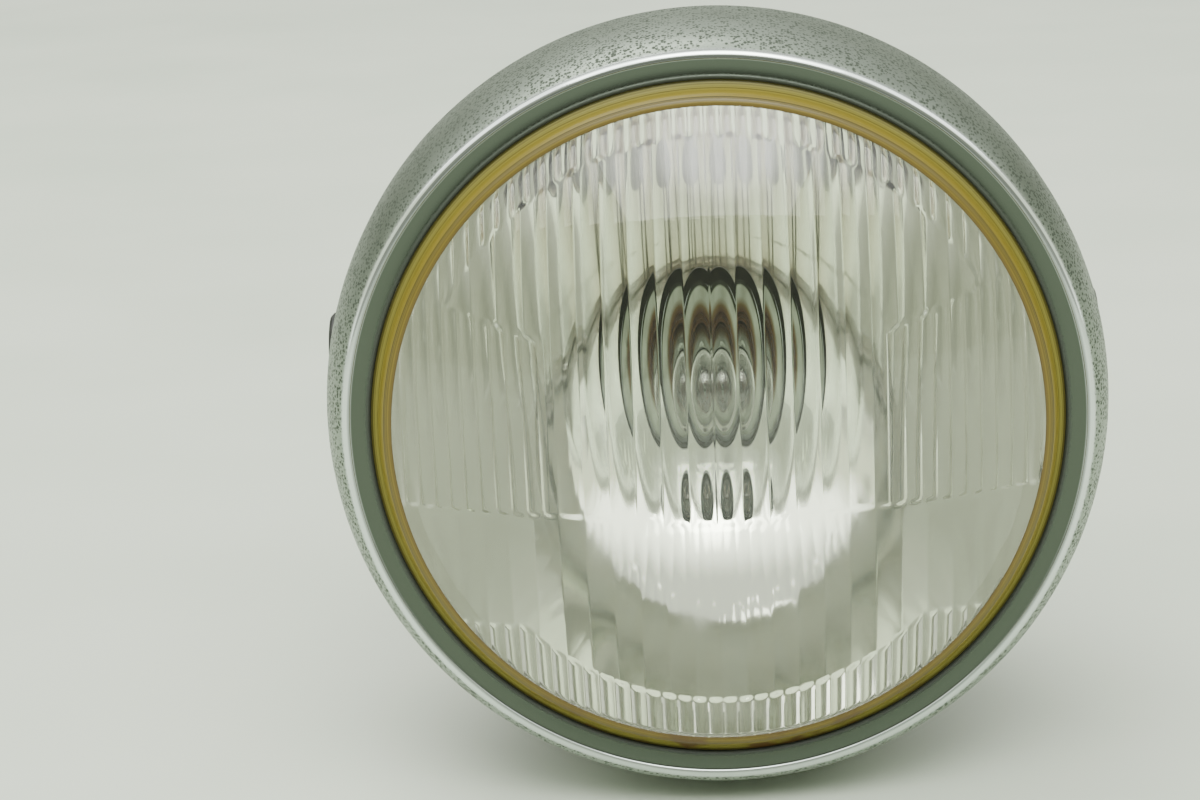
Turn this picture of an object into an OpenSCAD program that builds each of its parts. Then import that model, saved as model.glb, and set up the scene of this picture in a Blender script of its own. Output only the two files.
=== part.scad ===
// Motorcycle headlight: a painted steel bucket with side ears, and a bright rim that carries
// the glass lens, the mirror and the bulbs. The rim hooks over the bucket's top and swings
// out from the bottom. Millimetres, +Z up, the lens looks along -Y.
// The origin is on the lamp's axis, midway between the two ear bolts.
// Every module is drawn in the lamp's own frame first: X right, Y up, Z forward along the
// axis, and on_axis() then turns it so that forward is -Y and up is +Z.

/* [Rim] */
// Largest outer radius of the rim
rim_r = 94; // [92:0.5:97]
// Radius of the opening inside the rim's lip
opening_r = 81.3; // [79:0.1:82]
// Sheet thickness of the rim
rim_wall = 1.2; // [0.8:0.1:1.5]
// Width of the flat front ring between the lip and the shoulder
ring_w = 5; // [4:0.1:5.5]
// Distance from the ear bolt axis forward to the front of the rim
front_s = 85; // [78:1:95]
// Depth of the rounded band, from the shoulder back to the widest circle
band_depth = 27; // [25:0.5:30]
// Length of the straight skirt behind the widest circle
skirt_len = 7; // [5:0.5:9]
// Depth of the shallow hollow in the front ring
ring_dip = 0.4; // [0.1:0.1:0.6]
// Depth of the lip that is turned back towards the lens
lip_depth = 2.7; // [2:0.1:3]

/* [Bucket] */
// Sheet thickness of the bucket
bucket_wall = 1.2; // [0.8:0.1:1.6]
// Radial gap between the bucket's mouth and the inside of the rim's skirt
mouth_gap = 2.2; // [2:0.1:2.8]
// How far the bucket's mouth reaches forward of the rim's widest circle
mouth_lap = 4; // [3:0.5:6]
// Depth of the bucket behind the ear bolt axis, to its flat back
back_depth = 58.5; // [54:0.5:80]
// Radius of the drain hole in the underside
drain_r = 2; // [1.5:0.1:3]

/* [Ears] */
// Distance between the outer faces of the two ear bushes
ear_span = 199; // [196:1:210]
// Outer radius of an ear bush
ear_r = 11; // [9:0.5:13]
// Radius of the threaded hole in an ear bush
ear_bolt_r = 4; // [3:0.5:5]
// Thickness of the flange of an ear bush inside the bucket
ear_flange_t = 2; // [1:0.1:3]

/* [Lens] */
// Radius of the ball that the lens's outer face is part of
lens_ball_r = 148; // [135:1:170]
// Glass thickness at the middle of the lens
lens_t = 4.4; // [3.5:0.1:5.5]
// How far the lens's shoulder stands in front of the rim
lens_proud = 4; // [3:0.1:5]
// Width of the ring of sealant between the lip and the glass wall
seal_w = 2.4; // [1.8:0.1:3]
// Thickness of the glass wall behind the dome
lens_wall = 3.4; // [3:0.1:5]
// Pitch of the wide flutes inside the lens
flute_pitch = 6; // [5:0.1:9]
// Depth of the wide flutes
flute_depth = 0.45; // [0.3:0.05:0.8]

/* [Mirror] */
// Focal length of the mirror
focal = 27; // [25:0.5:28]
// Thickness of the mirror's sheet, along the axis
mirror_t = 1; // [0.8:0.1:1.3]
// Radius of the bulb's hole in the mirror
neck_r = 21.6; // [21:0.1:22]
// Distance from the axis down to the pilot bulb
pilot_drop = 33.5; // [33.5:0.5:38]
// Radius of the pilot bulb's hole
pilot_hole_r = 6.5; // [6:0.1:7]

/* [Bulb] */
// Radius of the bulb's locating flange
flange_r = 22.5; // [22:0.1:23]
// Distance from the flange forward to the main filament
light_centre = 29; // [28.5:0.1:29.5]
// Radius of the bulb's glass
globe_r = 10.5; // [9:0.1:12]
// Length of the glass in front of the flange
globe_len = 42; // [41:1:50]
// Radius of the metal base behind the flange
base_r = 12.5; // [11:0.1:13]
// Length of the metal base behind the flange
base_len = 14; // [12:0.5:17]
// Angle that the spring cap turns to let the bulb out
cap_turn = 20; // [15:1:25]

/* [Screws and hook] */
// Radius of the rim screw's shank
screw_r = 2.45; // [1.9:0.05:2.9]
// Radius of the rim screw's head
screw_head_r = 4.6; // [4:0.1:5]
// Width of the notch in the bucket's mouth that the rim screw slides into
notch_w = 14.4; // [10:0.1:20]
// Width of the hook at the top of the rim
hook_w = 14; // [10:1:18]
// Thickness of the hook's tongue
hook_t = 1.5; // [1:0.1:2]

/* [Clearances] */
// Gap between pieces that rest on each other
seat = 0.3; // [0.2:0.05:0.4]
// Gap between a fixed piece and the sheet it is welded or pressed to
weld = 0.05; // [0.02:0.01:0.1]
// Radial clearance of the rim screw in its nut
turn_fit = 0.05; // [0.02:0.01:0.1]

/* [Hidden] */
$fn = 96;

// Rim, seen from the side: distances forward of the ear bolt axis
shoulder_r = opening_r + ring_w;
widest_s = front_s - band_depth;
skirt_s = widest_s - skirt_len;
lip_round = 0.8;
ring_back_s = front_s - ring_dip - 1;
skirt_in_r = rim_r - rim_wall;
// Radius of the inside of the rim's band at a place along the axis
function band_in_r(s) = s <= widest_s ? skirt_in_r
    : shoulder_r + (skirt_in_r - shoulder_r)
    * sqrt(max(0, 1 - pow((s - widest_s) / (band_depth - rim_wall), 2)));

// Bucket: a straight mouth, then a bowl that ends in a flat back
mouth_r = skirt_in_r - mouth_gap;
mouth_in_r = mouth_r - bucket_wall;
mouth_s = widest_s + mouth_lap;
bowl_s = skirt_s - 3;
back_s = -back_depth;
back_round = 4.3;
bowl_len = bowl_s - back_s + back_round;
bowl_power_s = 2.6;
bowl_power_r = 2.2;
bowl_steps = 16;
// Radius of the bowl at a place along the axis
function bowl_r(s, r, len) = r
    * pow(1 - pow(max(0, bowl_s - s) / len, bowl_power_s), 1 / bowl_power_r);
function bowl_in(s) = bowl_r(s, mouth_in_r, bowl_len - bucket_wall);
function bowl_turn(s, len) = asin(pow((bowl_s - s) / len, bowl_power_s / 2));
function bowl_points(r, len, end_s) = [
    for (i = [0:bowl_steps]) let (a = bowl_turn(end_s, len) * i / bowl_steps)
        [r * pow(cos(a), 2 / bowl_power_r), bowl_s - len * pow(sin(a), 2 / bowl_power_s)]];
back_in_s = back_s + bucket_wall;
drain_s = bowl_s - 18;

// Ears
ear_flange_r = ear_r + 2;
ear_seat_x = bowl_in(-ear_flange_r) - seat;
ear_inner_x = ear_seat_x - ear_flange_t;
ear_outer_x = ear_span / 2;

// Hook and hinge at the top of the rim
hook_sheet = 0.95;
hook_front_gap = 0.5;
hinge_y = mouth_r - bucket_wall / 2;
slot_front_s = skirt_s + 2.75;
hinge_s = slot_front_s - hook_front_gap + 0.15;
tongue_front_s = slot_front_s - hook_front_gap;
tongue_back_s = tongue_front_s - hook_t;
slot_back_s = tongue_back_s - 1.5;
slot_half_w = hook_w / 2 + 1;
tongue_low_y = mouth_in_r - 5;
plate_t = 1.2;
plate_r = mouth_in_r - weld;

// Rim screw and its notch
screw_s = skirt_s + 5;
notch_end_s = screw_s - screw_r - 1.55;
catch_half_angle = asin((notch_w / 2 + 6) / plate_r);
washer_t = 0.8;
washer_top_y = -rim_r - 0.1;
head_h = 2.3;
nut_flats = screw_r * 2 * 1.6;
nut_h = 4;
nut_plate_w = notch_w + 5.2;
nut_plate_len = 8;
nut_plate_t = 1.6;
nut_low_y = -sqrt(pow(plate_r - plate_t - seat / 2, 2) - pow(nut_plate_w / 2, 2));
screw_end_y = nut_low_y + nut_h + 1.2;

// Seals between bucket, rim and lens unit
gasket_leg = 0.8;
gasket_lap = 4;
gasket_end_s = mouth_s - gasket_lap - 1;
gasket_skin = 0.4;
hook_clear = 2.5;
leg_cut_y = 3;
gasket_front_s = mouth_s + 3.7;
clip_ring_s = gasket_front_s + seat;
clip_ring_t = 1.2;
clip_ring_len = 3.5;
clip_ring_r = band_in_r(clip_ring_s + clip_ring_len) - weld;
clip_ring_in_r = mouth_in_r - 1.9;

// Lens: outer ball, glass wall inside the sealant, and the flange behind the rim's lip
wall_r = opening_r - seal_w;
corner_r = wall_r - 2.4;
lens_ball_s = front_s + lens_proud - sqrt(pow(lens_ball_r, 2) - pow(corner_r, 2));
lens_in_ball_r = lens_ball_r - lens_t;
flange_front_s = front_s - 3.4;
lens_flange_t = 3;
flange_back_s = flange_front_s - lens_flange_t;
lens_in_r = wall_r - lens_wall;
lens_steps = 14;

// Mirror: a paraboloid whose flange holds the lens
tray_s = flange_back_s - seat;
tray_wall = 1.1;
tray_lap = 5.2;
tray_r = min(opening_r + tray_lap, band_in_r(tray_s - mirror_t) - seat);
lens_flange_r = tray_r - tray_wall - 2 * seat;
front_gasket_r = min(shoulder_r - 0.8, band_in_r(flange_front_s) - seat);
mirror_r = wall_r;
vertex_s = tray_s - pow(mirror_r, 2) / (4 * focal);
mirror_steps = 14;
function mirror_s(r) = vertex_s + r * r / (4 * focal);
mirror_back_s = tray_s - mirror_t;
neck_wall = 0.8;

// Bulb, from the plane that its flange rests on
filament_s = vertex_s + focal;
flange_s = filament_s - light_centre;
flange_t = 1;
cup_len = 6;
cup_wall = 1;
glass_s = flange_s + 0.1;
glass_t = 0.8;
stem_r = 4;
stem_s = flange_s + 13;
pinch_h = 7;
filament_r = 0.7;
filament_len = 5.6;
dip_s = filament_s + 6.5;
dip_y = 0.8;
collar_t = 1;
collar_seat = 1;
collar_in_r = flange_r + 0.4;
collar_wall = 1.1;
collar_out_r = collar_in_r + collar_wall;
cap_wall = 0.8;
cap_in_r = collar_out_r + 0.3;
cap_out_r = cap_in_r + cap_wall;
cap_hole_r = base_r + 1.5;
cap_gap = 2;
cap_len = 6.2;
cap_front_s = flange_s - cap_gap;
cap_back_s = cap_front_s - cap_len;
lug_drop = 2.6;
lug_s = cap_front_s - lug_drop;
lug_h = 1.8;
lug_half_angle = 4;
slot_margin = 0.4;
base_end_s = flange_s - flange_t - base_len;
insulator_t = 2;
blade_len = 8;
blade_w = 8;
blade_t = 0.8;
blade_out = 7.5;
socket_r = base_r + 2.5;
socket_front_s = base_end_s - insulator_t - 0.5;
socket_len = 16;
socket_back_s = socket_front_s - socket_len;
tail_len = 6;

// Pilot bulb
spigot_wall = 0.8;
spigot_end_s = mirror_s(0) - 2;
sleeve_r = pilot_hole_r - seat;
sleeve_in_r = 5;
pilot_front_s = mirror_s(pilot_drop) - 2;
pilot_flange_t = 1;
pilot_back_s = spigot_end_s - seat - pilot_flange_t;
pilot_cap_len = 7;
pilot_glass_r = 4;
pilot_tail_len = 7.5;
tag_w = 6.3;
tag_t = 0.8;

// Back of the bucket: harness inlet, terminals and earth
inlet_y = -14;
inlet_hole_r = 11;
inlet_r = 6;
grommet_flange_r = 13.5;
block_w = 40;
block_h = 12;
block_d = 8;
block_y = 14;
block_end = 8;
block_hole_x = [-block_w / 2 + block_end / 2, block_w / 2 - block_end / 2];
post_count = 4;
post_pitch = (block_w - 2 * block_end) / post_count;
trough_w = 1.2;
earth_x = -20;
earth_y = -10;

module on_axis() { rotate([90, 0, 0]) children(); }

// A ring with a square section
module ring(r_in, r_out, s_low, s_high) {
    translate([0, 0, s_low]) difference() {
        cylinder(r = r_out, h = s_high - s_low);
        translate([0, 0, -1]) cylinder(r = r_in, h = s_high - s_low + 2);
    }
}

// A round bar along the lamp's axis
module bar(r, s_low, s_high, x = 0, y = 0) {
    translate([x, y, s_low]) cylinder(r = r, h = s_high - s_low);
}

// A round wire through a list of points
module wire(path, r) {
    for (i = [0:len(path) - 2]) {
        d = path[i + 1] - path[i];
        translate(path[i]) rotate([0, acos(d[2] / norm(d)), atan2(d[1], d[0])])
            cylinder(r = r, h = norm(d), $fn = 14);
    }
    for (i = [1:len(path) - 2]) translate(path[i]) sphere(r = r, $fn = 14);
}

module bucket() {
    color("#15171a") on_axis() difference() {
        rotate_extrude() polygon(concat(
            [[0, back_s], [0, mouth_s], [mouth_r, mouth_s]],
            bowl_points(mouth_r, bowl_len, back_s)));
        rotate_extrude() polygon(concat(
            [[0, back_in_s], [0, mouth_s + 1], [mouth_in_r, mouth_s + 1]],
            bowl_points(mouth_in_r, bowl_len - bucket_wall, back_in_s)));
        // Holes for the ear bushes
        for (side = [-1, 1]) translate([side * mouth_r, 0, 0])
            rotate([0, 90, 0]) cylinder(r = ear_r + weld, h = 40, center = true);
        // Slot for the hook, at the top
        translate([-slot_half_w, mouth_r - 12, slot_back_s])
            cube([2 * slot_half_w, 20, slot_front_s - slot_back_s]);
        // Notch for the rim screw, open at the mouth
        notch();
        // Harness inlet in the flat back
        bar(inlet_hole_r, back_s - 1, back_in_s + 1, 0, inlet_y);
        // Screw holes for the terminal block and the earth tag
        for (x = block_hole_x) bar(1.6, back_s - 1, back_in_s + 1, x, block_y);
        bar(2.05, back_s - 1, back_in_s + 1, earth_x, earth_y);
        // Drain hole
        translate([0, -mouth_r, drain_s]) rotate([90, 0, 0])
            cylinder(r = drain_r, h = 30, center = true);
    }
}

module notch() {
    translate([-notch_w / 2, -mouth_r - 8, notch_end_s])
        cube([notch_w, 16, mouth_s - notch_end_s + 1]);
}

// A turned bush that is welded into the side of the bucket and takes the ear bolt
module ear_bush() {
    color("#1b1c1e") difference() {
        union() {
            translate([ear_inner_x, 0, 0]) rotate([0, 90, 0])
                cylinder(r = ear_r, h = ear_outer_x - ear_inner_x - 0.8);
            translate([ear_outer_x - 0.8, 0, 0]) rotate([0, 90, 0])
                cylinder(r1 = ear_r, r2 = ear_r - 0.8, h = 0.8);
            translate([ear_inner_x, 0, 0]) rotate([0, 90, 0])
                cylinder(r = ear_flange_r, h = ear_flange_t);
        }
        translate([ear_inner_x - 1, 0, 0]) rotate([0, 90, 0])
            cylinder(r = ear_bolt_r, h = ear_outer_x - ear_inner_x + 2);
    }
}

module ear_bush_right() { on_axis() ear_bush(); }
module ear_bush_left() { on_axis() mirror([1, 0, 0]) ear_bush(); }

module mouth_gasket() {
    color("#202122") on_axis() difference() {
        ring(mouth_in_r - gasket_leg, mouth_r + gasket_leg, mouth_s - gasket_lap, gasket_front_s);
        ring(mouth_in_r - weld, mouth_r + weld, gasket_end_s, mouth_s + weld);
        // The outer leg is cut away under the hook
        translate([-hook_w / 2 - hook_clear, mouth_r - leg_cut_y, gasket_end_s])
            cube([hook_w + 2 * hook_clear, 3 * leg_cut_y,
                gasket_front_s - gasket_skin - gasket_end_s]);
        // The ring is open at the bottom, for the rim screw and its nut
        translate([-nut_plate_w / 2 - 1, -mouth_r - 2 * leg_cut_y, gasket_end_s])
            cube([nut_plate_w + 2, 4 * leg_cut_y, 2 * (gasket_front_s - gasket_end_s)]);
    }
}

module harness_grommet() {
    color("#1c1c1d") on_axis() translate([0, inlet_y, 0]) difference() {
        union() {
            bar(inlet_hole_r - weld, back_s - 1, back_in_s + 1);
            bar(grommet_flange_r, back_in_s + weld, back_in_s + 2.5);
            bar(grommet_flange_r, back_s - 2.5, back_s - weld);
            bar(inlet_r + 2, back_s - 6, back_s - 2);
        }
        bar(inlet_r, back_s - 7, back_in_s + 4);
    }
}

// A stiffening plate of sheet that follows the inside of the bucket's mouth
module mouth_plate(half_angle, s_low, s_high) {
    rotate([0, 0, -half_angle]) rotate_extrude(angle = 2 * half_angle)
        translate([plate_r - plate_t, s_low]) square([plate_t, s_high - s_low]);
}

module hook_plate() {
    color("#2a2b2d") on_axis() difference() {
        rotate([0, 0, 90]) mouth_plate(9, slot_back_s - 3, mouth_s - 4.5);
        translate([-slot_half_w, plate_r - 12, slot_back_s])
            cube([2 * slot_half_w, 20, slot_front_s - slot_back_s + 1.2]);
    }
}

module catch_plate() {
    color("#2a2b2d") on_axis() difference() {
        rotate([0, 0, -90]) mouth_plate(catch_half_angle, notch_end_s - 4, mouth_s - 4.5);
        notch();
    }
}

function post_x(i) = (i + 0.5 - post_count / 2) * post_pitch;

module terminal_block() {
    color("#3a2417") on_axis() difference() {
        translate([-block_w / 2, block_y - block_h / 2, back_in_s + weld])
            cube([block_w, block_h, block_d]);
        // Troughs between the posts
        for (i = [0:post_count])
            translate([(i - post_count / 2) * post_pitch - trough_w / 2,
                block_y - block_h / 2 - 1, back_in_s + block_d - 3])
                cube([trough_w, block_h + 2, 5]);
        for (x = block_hole_x) bar(1.6, back_in_s - 1, back_in_s + block_d + 2, x, block_y);
        for (i = [0:post_count - 1])
            bar(1.5, back_in_s + 2, back_in_s + block_d + 2, post_x(i), block_y);
    }
}

// A cheese-head screw in the block, from s_low up to the block's face
module block_screw(x, r, head_r, head, s_low) {
    block_s = back_in_s + block_d;
    translate([x, block_y, 0]) difference() {
        union() {
            bar(r, s_low, block_s + 0.5);
            bar(head_r, block_s + 0.1, block_s + head);
        }
        translate([-head_r - 1, -0.4, block_s + head - 0.8]) cube([2 * head_r + 2, 0.8, 2]);
    }
}

module terminal_screws() {
    color("#b59245") on_axis() {
        for (i = [0:post_count - 1]) block_screw(post_x(i), 1.45, 2.2, 1.8, back_in_s + 2.1);
        for (x = block_hole_x) block_screw(x, 1.55, 2.8, 2.1, back_s - 1.5);
    }
}

module earth_tag() {
    color("#b59245") on_axis() translate([earth_x, earth_y, back_in_s + weld]) difference() {
        union() {
            cylinder(r = 4.2, h = 0.8);
            translate([-3.15, 0, 0]) cube([6.3, 12, 0.8]);
            translate([-3.15, 11.2, 0]) cube([6.3, 0.8, 7]);
        }
        translate([0, 0, -1]) cylinder(r = 2.2, h = 3);
    }
}

module earth_screw() {
    color("#9a9c9e") on_axis() translate([earth_x, earth_y, 0]) difference() {
        union() {
            bar(2, back_s - 3, back_in_s + 1.2);
            bar(3.6, back_in_s + 0.9, back_in_s + 3.4);
            translate([0, 0, back_s - 2.6]) cylinder(r = 3.6, h = 2.55, $fn = 6);
        }
        translate([-4, -0.5, back_in_s + 2.4]) cube([8, 1, 2]);
    }
}

module rim() {
    band = rim_r - shoulder_r;
    band_in = skirt_in_r - shoulder_r;
    flat_w = ring_w - lip_round;
    color("#a8aea6") on_axis() difference() {
        rotate_extrude() polygon(concat(
            [[rim_r, skirt_s]],
            [for (a = [0:6:90])
                [shoulder_r + band * cos(a), widest_s + band_depth * sin(a)]],
            [for (t = [0.2:0.2:0.8])
                [shoulder_r - t * flat_w, front_s - ring_dip * sin(180 * t)]],
            [for (a = [90:30:180])
                [opening_r + lip_round + lip_round * cos(a),
                    front_s - lip_round + lip_round * sin(a)]],
            [[opening_r, front_s - lip_depth], [opening_r + rim_wall, front_s - lip_depth],
                [opening_r + rim_wall, ring_back_s], [shoulder_r - 0.6, ring_back_s]],
            [for (a = [90:-6:0]) if (widest_s + (band_depth - rim_wall) * sin(a) < ring_back_s)
                [shoulder_r + band_in * cos(a), widest_s + (band_depth - rim_wall) * sin(a)]],
            [[skirt_in_r, skirt_s]]));
        // Hole for the rim screw, at the bottom
        translate([0, -rim_r + 8, screw_s]) rotate([90, 0, 0])
            cylinder(r = screw_r + 0.25, h = 16);
    }
}

// An angle ring that is spot welded inside the rim: the clips pull on it, and its back face
// rests on the bucket's gasket
module clip_ring() {
    color("#8d9296") on_axis() difference() {
        ring(clip_ring_in_r, clip_ring_r, clip_ring_s, clip_ring_s + clip_ring_len);
        ring(clip_ring_in_r - 1, clip_ring_r - 1,
            clip_ring_s + clip_ring_t, clip_ring_s + clip_ring_len + 1);
    }
}

module top_hook() {
    half_angle = asin(hook_w / 2 / skirt_in_r);
    sheet_r = band_in_r(mouth_s) - weld;
    color("#8d9296") on_axis() {
        rotate([0, 0, 90 - half_angle]) rotate_extrude(angle = 2 * half_angle)
            translate([sheet_r - hook_sheet, tongue_back_s])
                square([hook_sheet, mouth_s - tongue_back_s]);
        translate([-hook_w / 2 + 0.1, tongue_low_y, tongue_back_s + 0.02])
            cube([hook_w - 0.2, sheet_r - hook_sheet / 2 - tongue_low_y, hook_t - 0.02]);
    }
}

// A plate nut: the plate bears on both sides of the notch
module rim_nut() {
    color("#8d9296") on_axis() difference() {
        union() {
            translate([-nut_plate_w / 2, nut_low_y, screw_s - nut_plate_len / 2])
                cube([nut_plate_w, nut_plate_t, nut_plate_len]);
            translate([0, nut_low_y + nut_h, screw_s]) rotate([90, 0, 0])
                cylinder(r = nut_flats / sqrt(3), h = nut_h - nut_plate_t / 2, $fn = 6);
        }
        translate([0, nut_low_y + nut_h + 1, screw_s]) rotate([90, 0, 0])
            cylinder(r = screw_r + turn_fit, h = nut_h + 2);
    }
}

module rim_screw() {
    color("#b9bcbc") on_axis() translate([0, 0, screw_s]) rotate([90, 0, 0]) difference() {
        union() {
            translate([0, 0, -screw_end_y])
                cylinder(r = screw_r, h = screw_end_y - washer_top_y + washer_t + 0.5);
            translate([0, 0, -washer_top_y + washer_t])
                cylinder(r = screw_head_r, h = head_h - 0.8);
            translate([0, 0, -washer_top_y + washer_t + head_h - 0.8])
                cylinder(r1 = screw_head_r, r2 = screw_head_r - 1.2, h = 0.8);
        }
        translate([-screw_head_r - 1, -0.55, -washer_top_y + washer_t + head_h - 1.2])
            cube([2 * screw_head_r + 2, 1.1, 3]);
    }
}

module rim_screw_washer() {
    color("#b9bcbc") on_axis() translate([0, washer_top_y, screw_s]) rotate([90, 0, 0])
        difference() {
            cylinder(r = screw_head_r + 0.6, h = washer_t - weld);
            translate([0, 0, -1]) cylinder(r = screw_r + 0.2, h = washer_t + 2);
        }
}

// The pressed lens: a smooth ball outside and upright flutes inside. All the flutes are one
// solid of revolution about the ball's own left-to-right axis, so each follows the dome.
module lens() {
    flute_r = lens_in_r - 4;
    last = floor(flute_r / flute_pitch - 0.5);
    hollow_s = lens_ball_s - flute_depth - 0.3;
    top_s = lens_ball_s + lens_ball_r + 1;
    function flute_floor(x, u) = sqrt(lens_in_ball_r * lens_in_ball_r - x * x)
        - flute_depth * 4 * u * u;
    color("#dfe8e4", 0.35) on_axis() difference() {
        intersection() {
            translate([0, 0, lens_ball_s]) sphere(r = lens_ball_r, $fn = 360);
            rotate_extrude() polygon(concat(
                [[0, flange_back_s], [0, top_s], [corner_r, top_s]],
                [for (a = [60:-30:0])
                    [corner_r + (wall_r - corner_r) * cos(a) * 0.9,
                        front_s + lens_proud - 3.4 + 3.4 * sin(a)]],
                [[wall_r, flange_front_s], [lens_flange_r, flange_front_s],
                    [lens_flange_r, flange_back_s]]));
        }
        // The smooth hollow at the edge
        intersection() {
            translate([0, 0, hollow_s]) sphere(r = lens_in_ball_r, $fn = 360);
            bar(lens_in_r, flange_back_s - 1, top_s);
        }
        // The flutes: hollow grooves that meet in sharp upright ridges
        intersection() {
            bar(flute_r, flange_back_s, top_s);
            translate([0, 0, lens_ball_s]) rotate([0, 90, 0]) rotate([0, 0, 150])
                rotate_extrude(angle = 60) polygon(concat(
                    [[lens_in_ball_r * 0.6, -(last + 0.5) * flute_pitch]],
                    [for (k = [-last:last]) for (u = [-1 / 2, -1 / 6, 1 / 6])
                        let (x = (k + u) * flute_pitch) [flute_floor(x, u), x]],
                    [let (x = (last + 0.5) * flute_pitch) [flute_floor(x, 0.5), x]],
                    [[lens_in_ball_r * 0.6, (last + 0.5) * flute_pitch]]));
        }
    }
}

// Cured sealant: a bead in the groove between the lip and the glass wall, and a bead that
// beds the lens's flange in the mirror's tray
module lens_seal() {
    color("#a89a4a") on_axis() {
        ring(wall_r + weld, opening_r - weld, flange_front_s + weld, front_s - 0.6);
        ring(lens_in_r + 0.5, lens_flange_r, tray_s + weld, flange_back_s - weld);
    }
}

module front_gasket() {
    color("#232425") on_axis()
        ring(opening_r + rim_wall + weld, front_gasket_r, flange_front_s + weld,
            ring_back_s - weld);
}

module mirror_half(shift, s_top) {
    rotate_extrude() polygon(concat(
        [[0, s_top]],
        [for (i = [0:mirror_steps]) let (r = mirror_r * i / mirror_steps)
            [r, mirror_s(r) + shift]],
        [[mirror_r, s_top]]));
}

module reflector() {
    color("#c9ced0") on_axis() difference() {
        union() {
            mirror_half(-mirror_t, tray_s);
            // Tray for the lens's flange
            bar(tray_r, mirror_back_s, flange_front_s);
            // Neck behind the bulb hole
            bar(neck_r + neck_wall, flange_s + collar_t, mirror_s(neck_r) + 2);
            // Spigot for the pilot holder
            bar(pilot_hole_r + spigot_wall, spigot_end_s, mirror_s(pilot_drop), 0, -pilot_drop);
        }
        mirror_half(0, tray_s + 1);
        bar(tray_r - tray_wall, tray_s, flange_front_s + 1);
        bar(neck_r, flange_s - 1, mirror_s(neck_r) + 3);
        bar(pilot_hole_r, spigot_end_s - 1, mirror_s(pilot_drop + pilot_hole_r) + 1, 0, -pilot_drop);
    }
}

// Spring wire clips between the angle ring and the back of the mirror's tray
module unit_clips() {
    wire_r = 0.8;
    low_s = clip_ring_s + clip_ring_t + wire_r + 0.1;
    high_s = mirror_back_s - wire_r - 0.1;
    foot_r = clip_ring_r - 1 - wire_r - 0.3;
    top_r = tray_r - 2.5;
    mid_r = min(tray_r + 1.5, band_in_r(low_s + 4) - wire_r - seat);
    function at(angle, r, s) = [r * cos(angle), r * sin(angle), s];
    color("#9aa0a3") on_axis() for (turn = [0:60:300]) {
        wire([
            at(turn - 8, foot_r, low_s), at(turn - 4, top_r, high_s),
            at(turn, mid_r, low_s + 3), at(turn + 4, top_r, high_s),
            at(turn + 8, foot_r, low_s)], wire_r);
    }
}

// Pressed collar behind the mirror's neck, with three lugs that the spring cap locks on
module bulb_collar() {
    color("#a9adb0") on_axis() {
        ring(neck_r - collar_seat, collar_out_r, flange_s, flange_s + collar_t);
        ring(collar_in_r, collar_out_r, lug_s - lug_drop, flange_s + collar_t);
        for (turn = [30, 150, 270]) rotate([0, 0, turn - lug_half_angle])
            rotate_extrude(angle = 2 * lug_half_angle)
                translate([collar_out_r - 0.3, lug_s - lug_h / 2])
                    square([cap_out_r - collar_out_r + 0.4, lug_h]);
    }
}

// A tube with a domed end, from the flange's front forward
module globe(r, s_low, tip_s) {
    bar(r, s_low, tip_s - r);
    translate([0, 0, tip_s - r]) sphere(r = r);
}

module bulb_glass() {
    tip_s = flange_s + globe_len;
    color("#e8ecec", 0.3) on_axis() difference() {
        globe(globe_r, glass_s, tip_s);
        globe(globe_r - glass_t, glass_s - 1, tip_s - glass_t);
    }
}

module bulb_stem() {
    color("#e0e6e6", 0.5) on_axis() {
        bar(stem_r, glass_s, stem_s - pinch_h);
        translate([-stem_r, -1.2, stem_s - pinch_h]) cube([2 * stem_r, 2.4, pinch_h]);
        bar(globe_r - glass_t - weld, glass_s, glass_s + 0.6);
    }
}

module filament_main() {
    color("#70706c") on_axis() translate([-filament_len / 2, 0, filament_s])
        rotate([0, 90, 0]) cylinder(r = filament_r, h = filament_len);
}

module filament_dip() {
    color("#70706c") on_axis() translate([0, dip_y, dip_s - filament_len / 2])
        cylinder(r = filament_r, h = filament_len);
}

module filament_supports() {
    low = stem_s + weld;
    top = dip_s + filament_len / 2 - 0.2;
    arm_y = 5.2;
    color("#9c9c96") on_axis() {
        for (side = [-1, 1])
            bar(0.35, low, filament_s + 0.3, side * (filament_len / 2 + 0.5), 0);
        wire([[0, -0.6, low + 0.3], [0, -4.6, low + 4], [0, -4.6, dip_s - 4.3]], 0.35);
        wire([[-1.6, 0.8, low + 0.3], [-2.8, arm_y, filament_s], [-2.8, arm_y, top],
            [0, dip_y + filament_r + 0.4, top]], 0.3);
    }
}

// The cup that hides the dip filament from below
module dip_shield() {
    shield_y = dip_y - 0.6;
    color("#8c8f90") on_axis() difference() {
        bar(4.2, dip_s - 4.2, dip_s + 3.4, 0, shield_y);
        bar(3.7, dip_s - 3.7, dip_s + 5, 0, shield_y);
        translate([-6, shield_y - 0.5, dip_s - 3.7]) cube([12, 12, 10]);
    }
}

module bulb_base() {
    color("#b9a05a") on_axis() difference() {
        union() {
            bar(flange_r, flange_s - flange_t, flange_s - weld);
            bar(base_r, base_end_s, flange_s - flange_t / 2);
            // Cup round the foot of the glass
            bar(globe_r + 0.3 + cup_wall, flange_s - flange_t / 2, flange_s + cup_len);
        }
        bar(globe_r + 0.3, flange_s - weld, flange_s + cup_len + 1);
        bar(base_r - 1, base_end_s - 1, flange_s - flange_t - 0.6);
        // Notch that keys the flange in the collar
        translate([-2, flange_r - 1.2, flange_s - 2]) cube([4, 4, 3]);
    }
}

module base_insulator() {
    color("#1d1b1a") on_axis() difference() {
        union() {
            bar(base_r - 1.05, base_end_s - 0.05, base_end_s + 2.5);
            bar(base_r - 0.2, base_end_s - insulator_t, base_end_s - 0.05);
        }
        blades(weld);
    }
}

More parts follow.
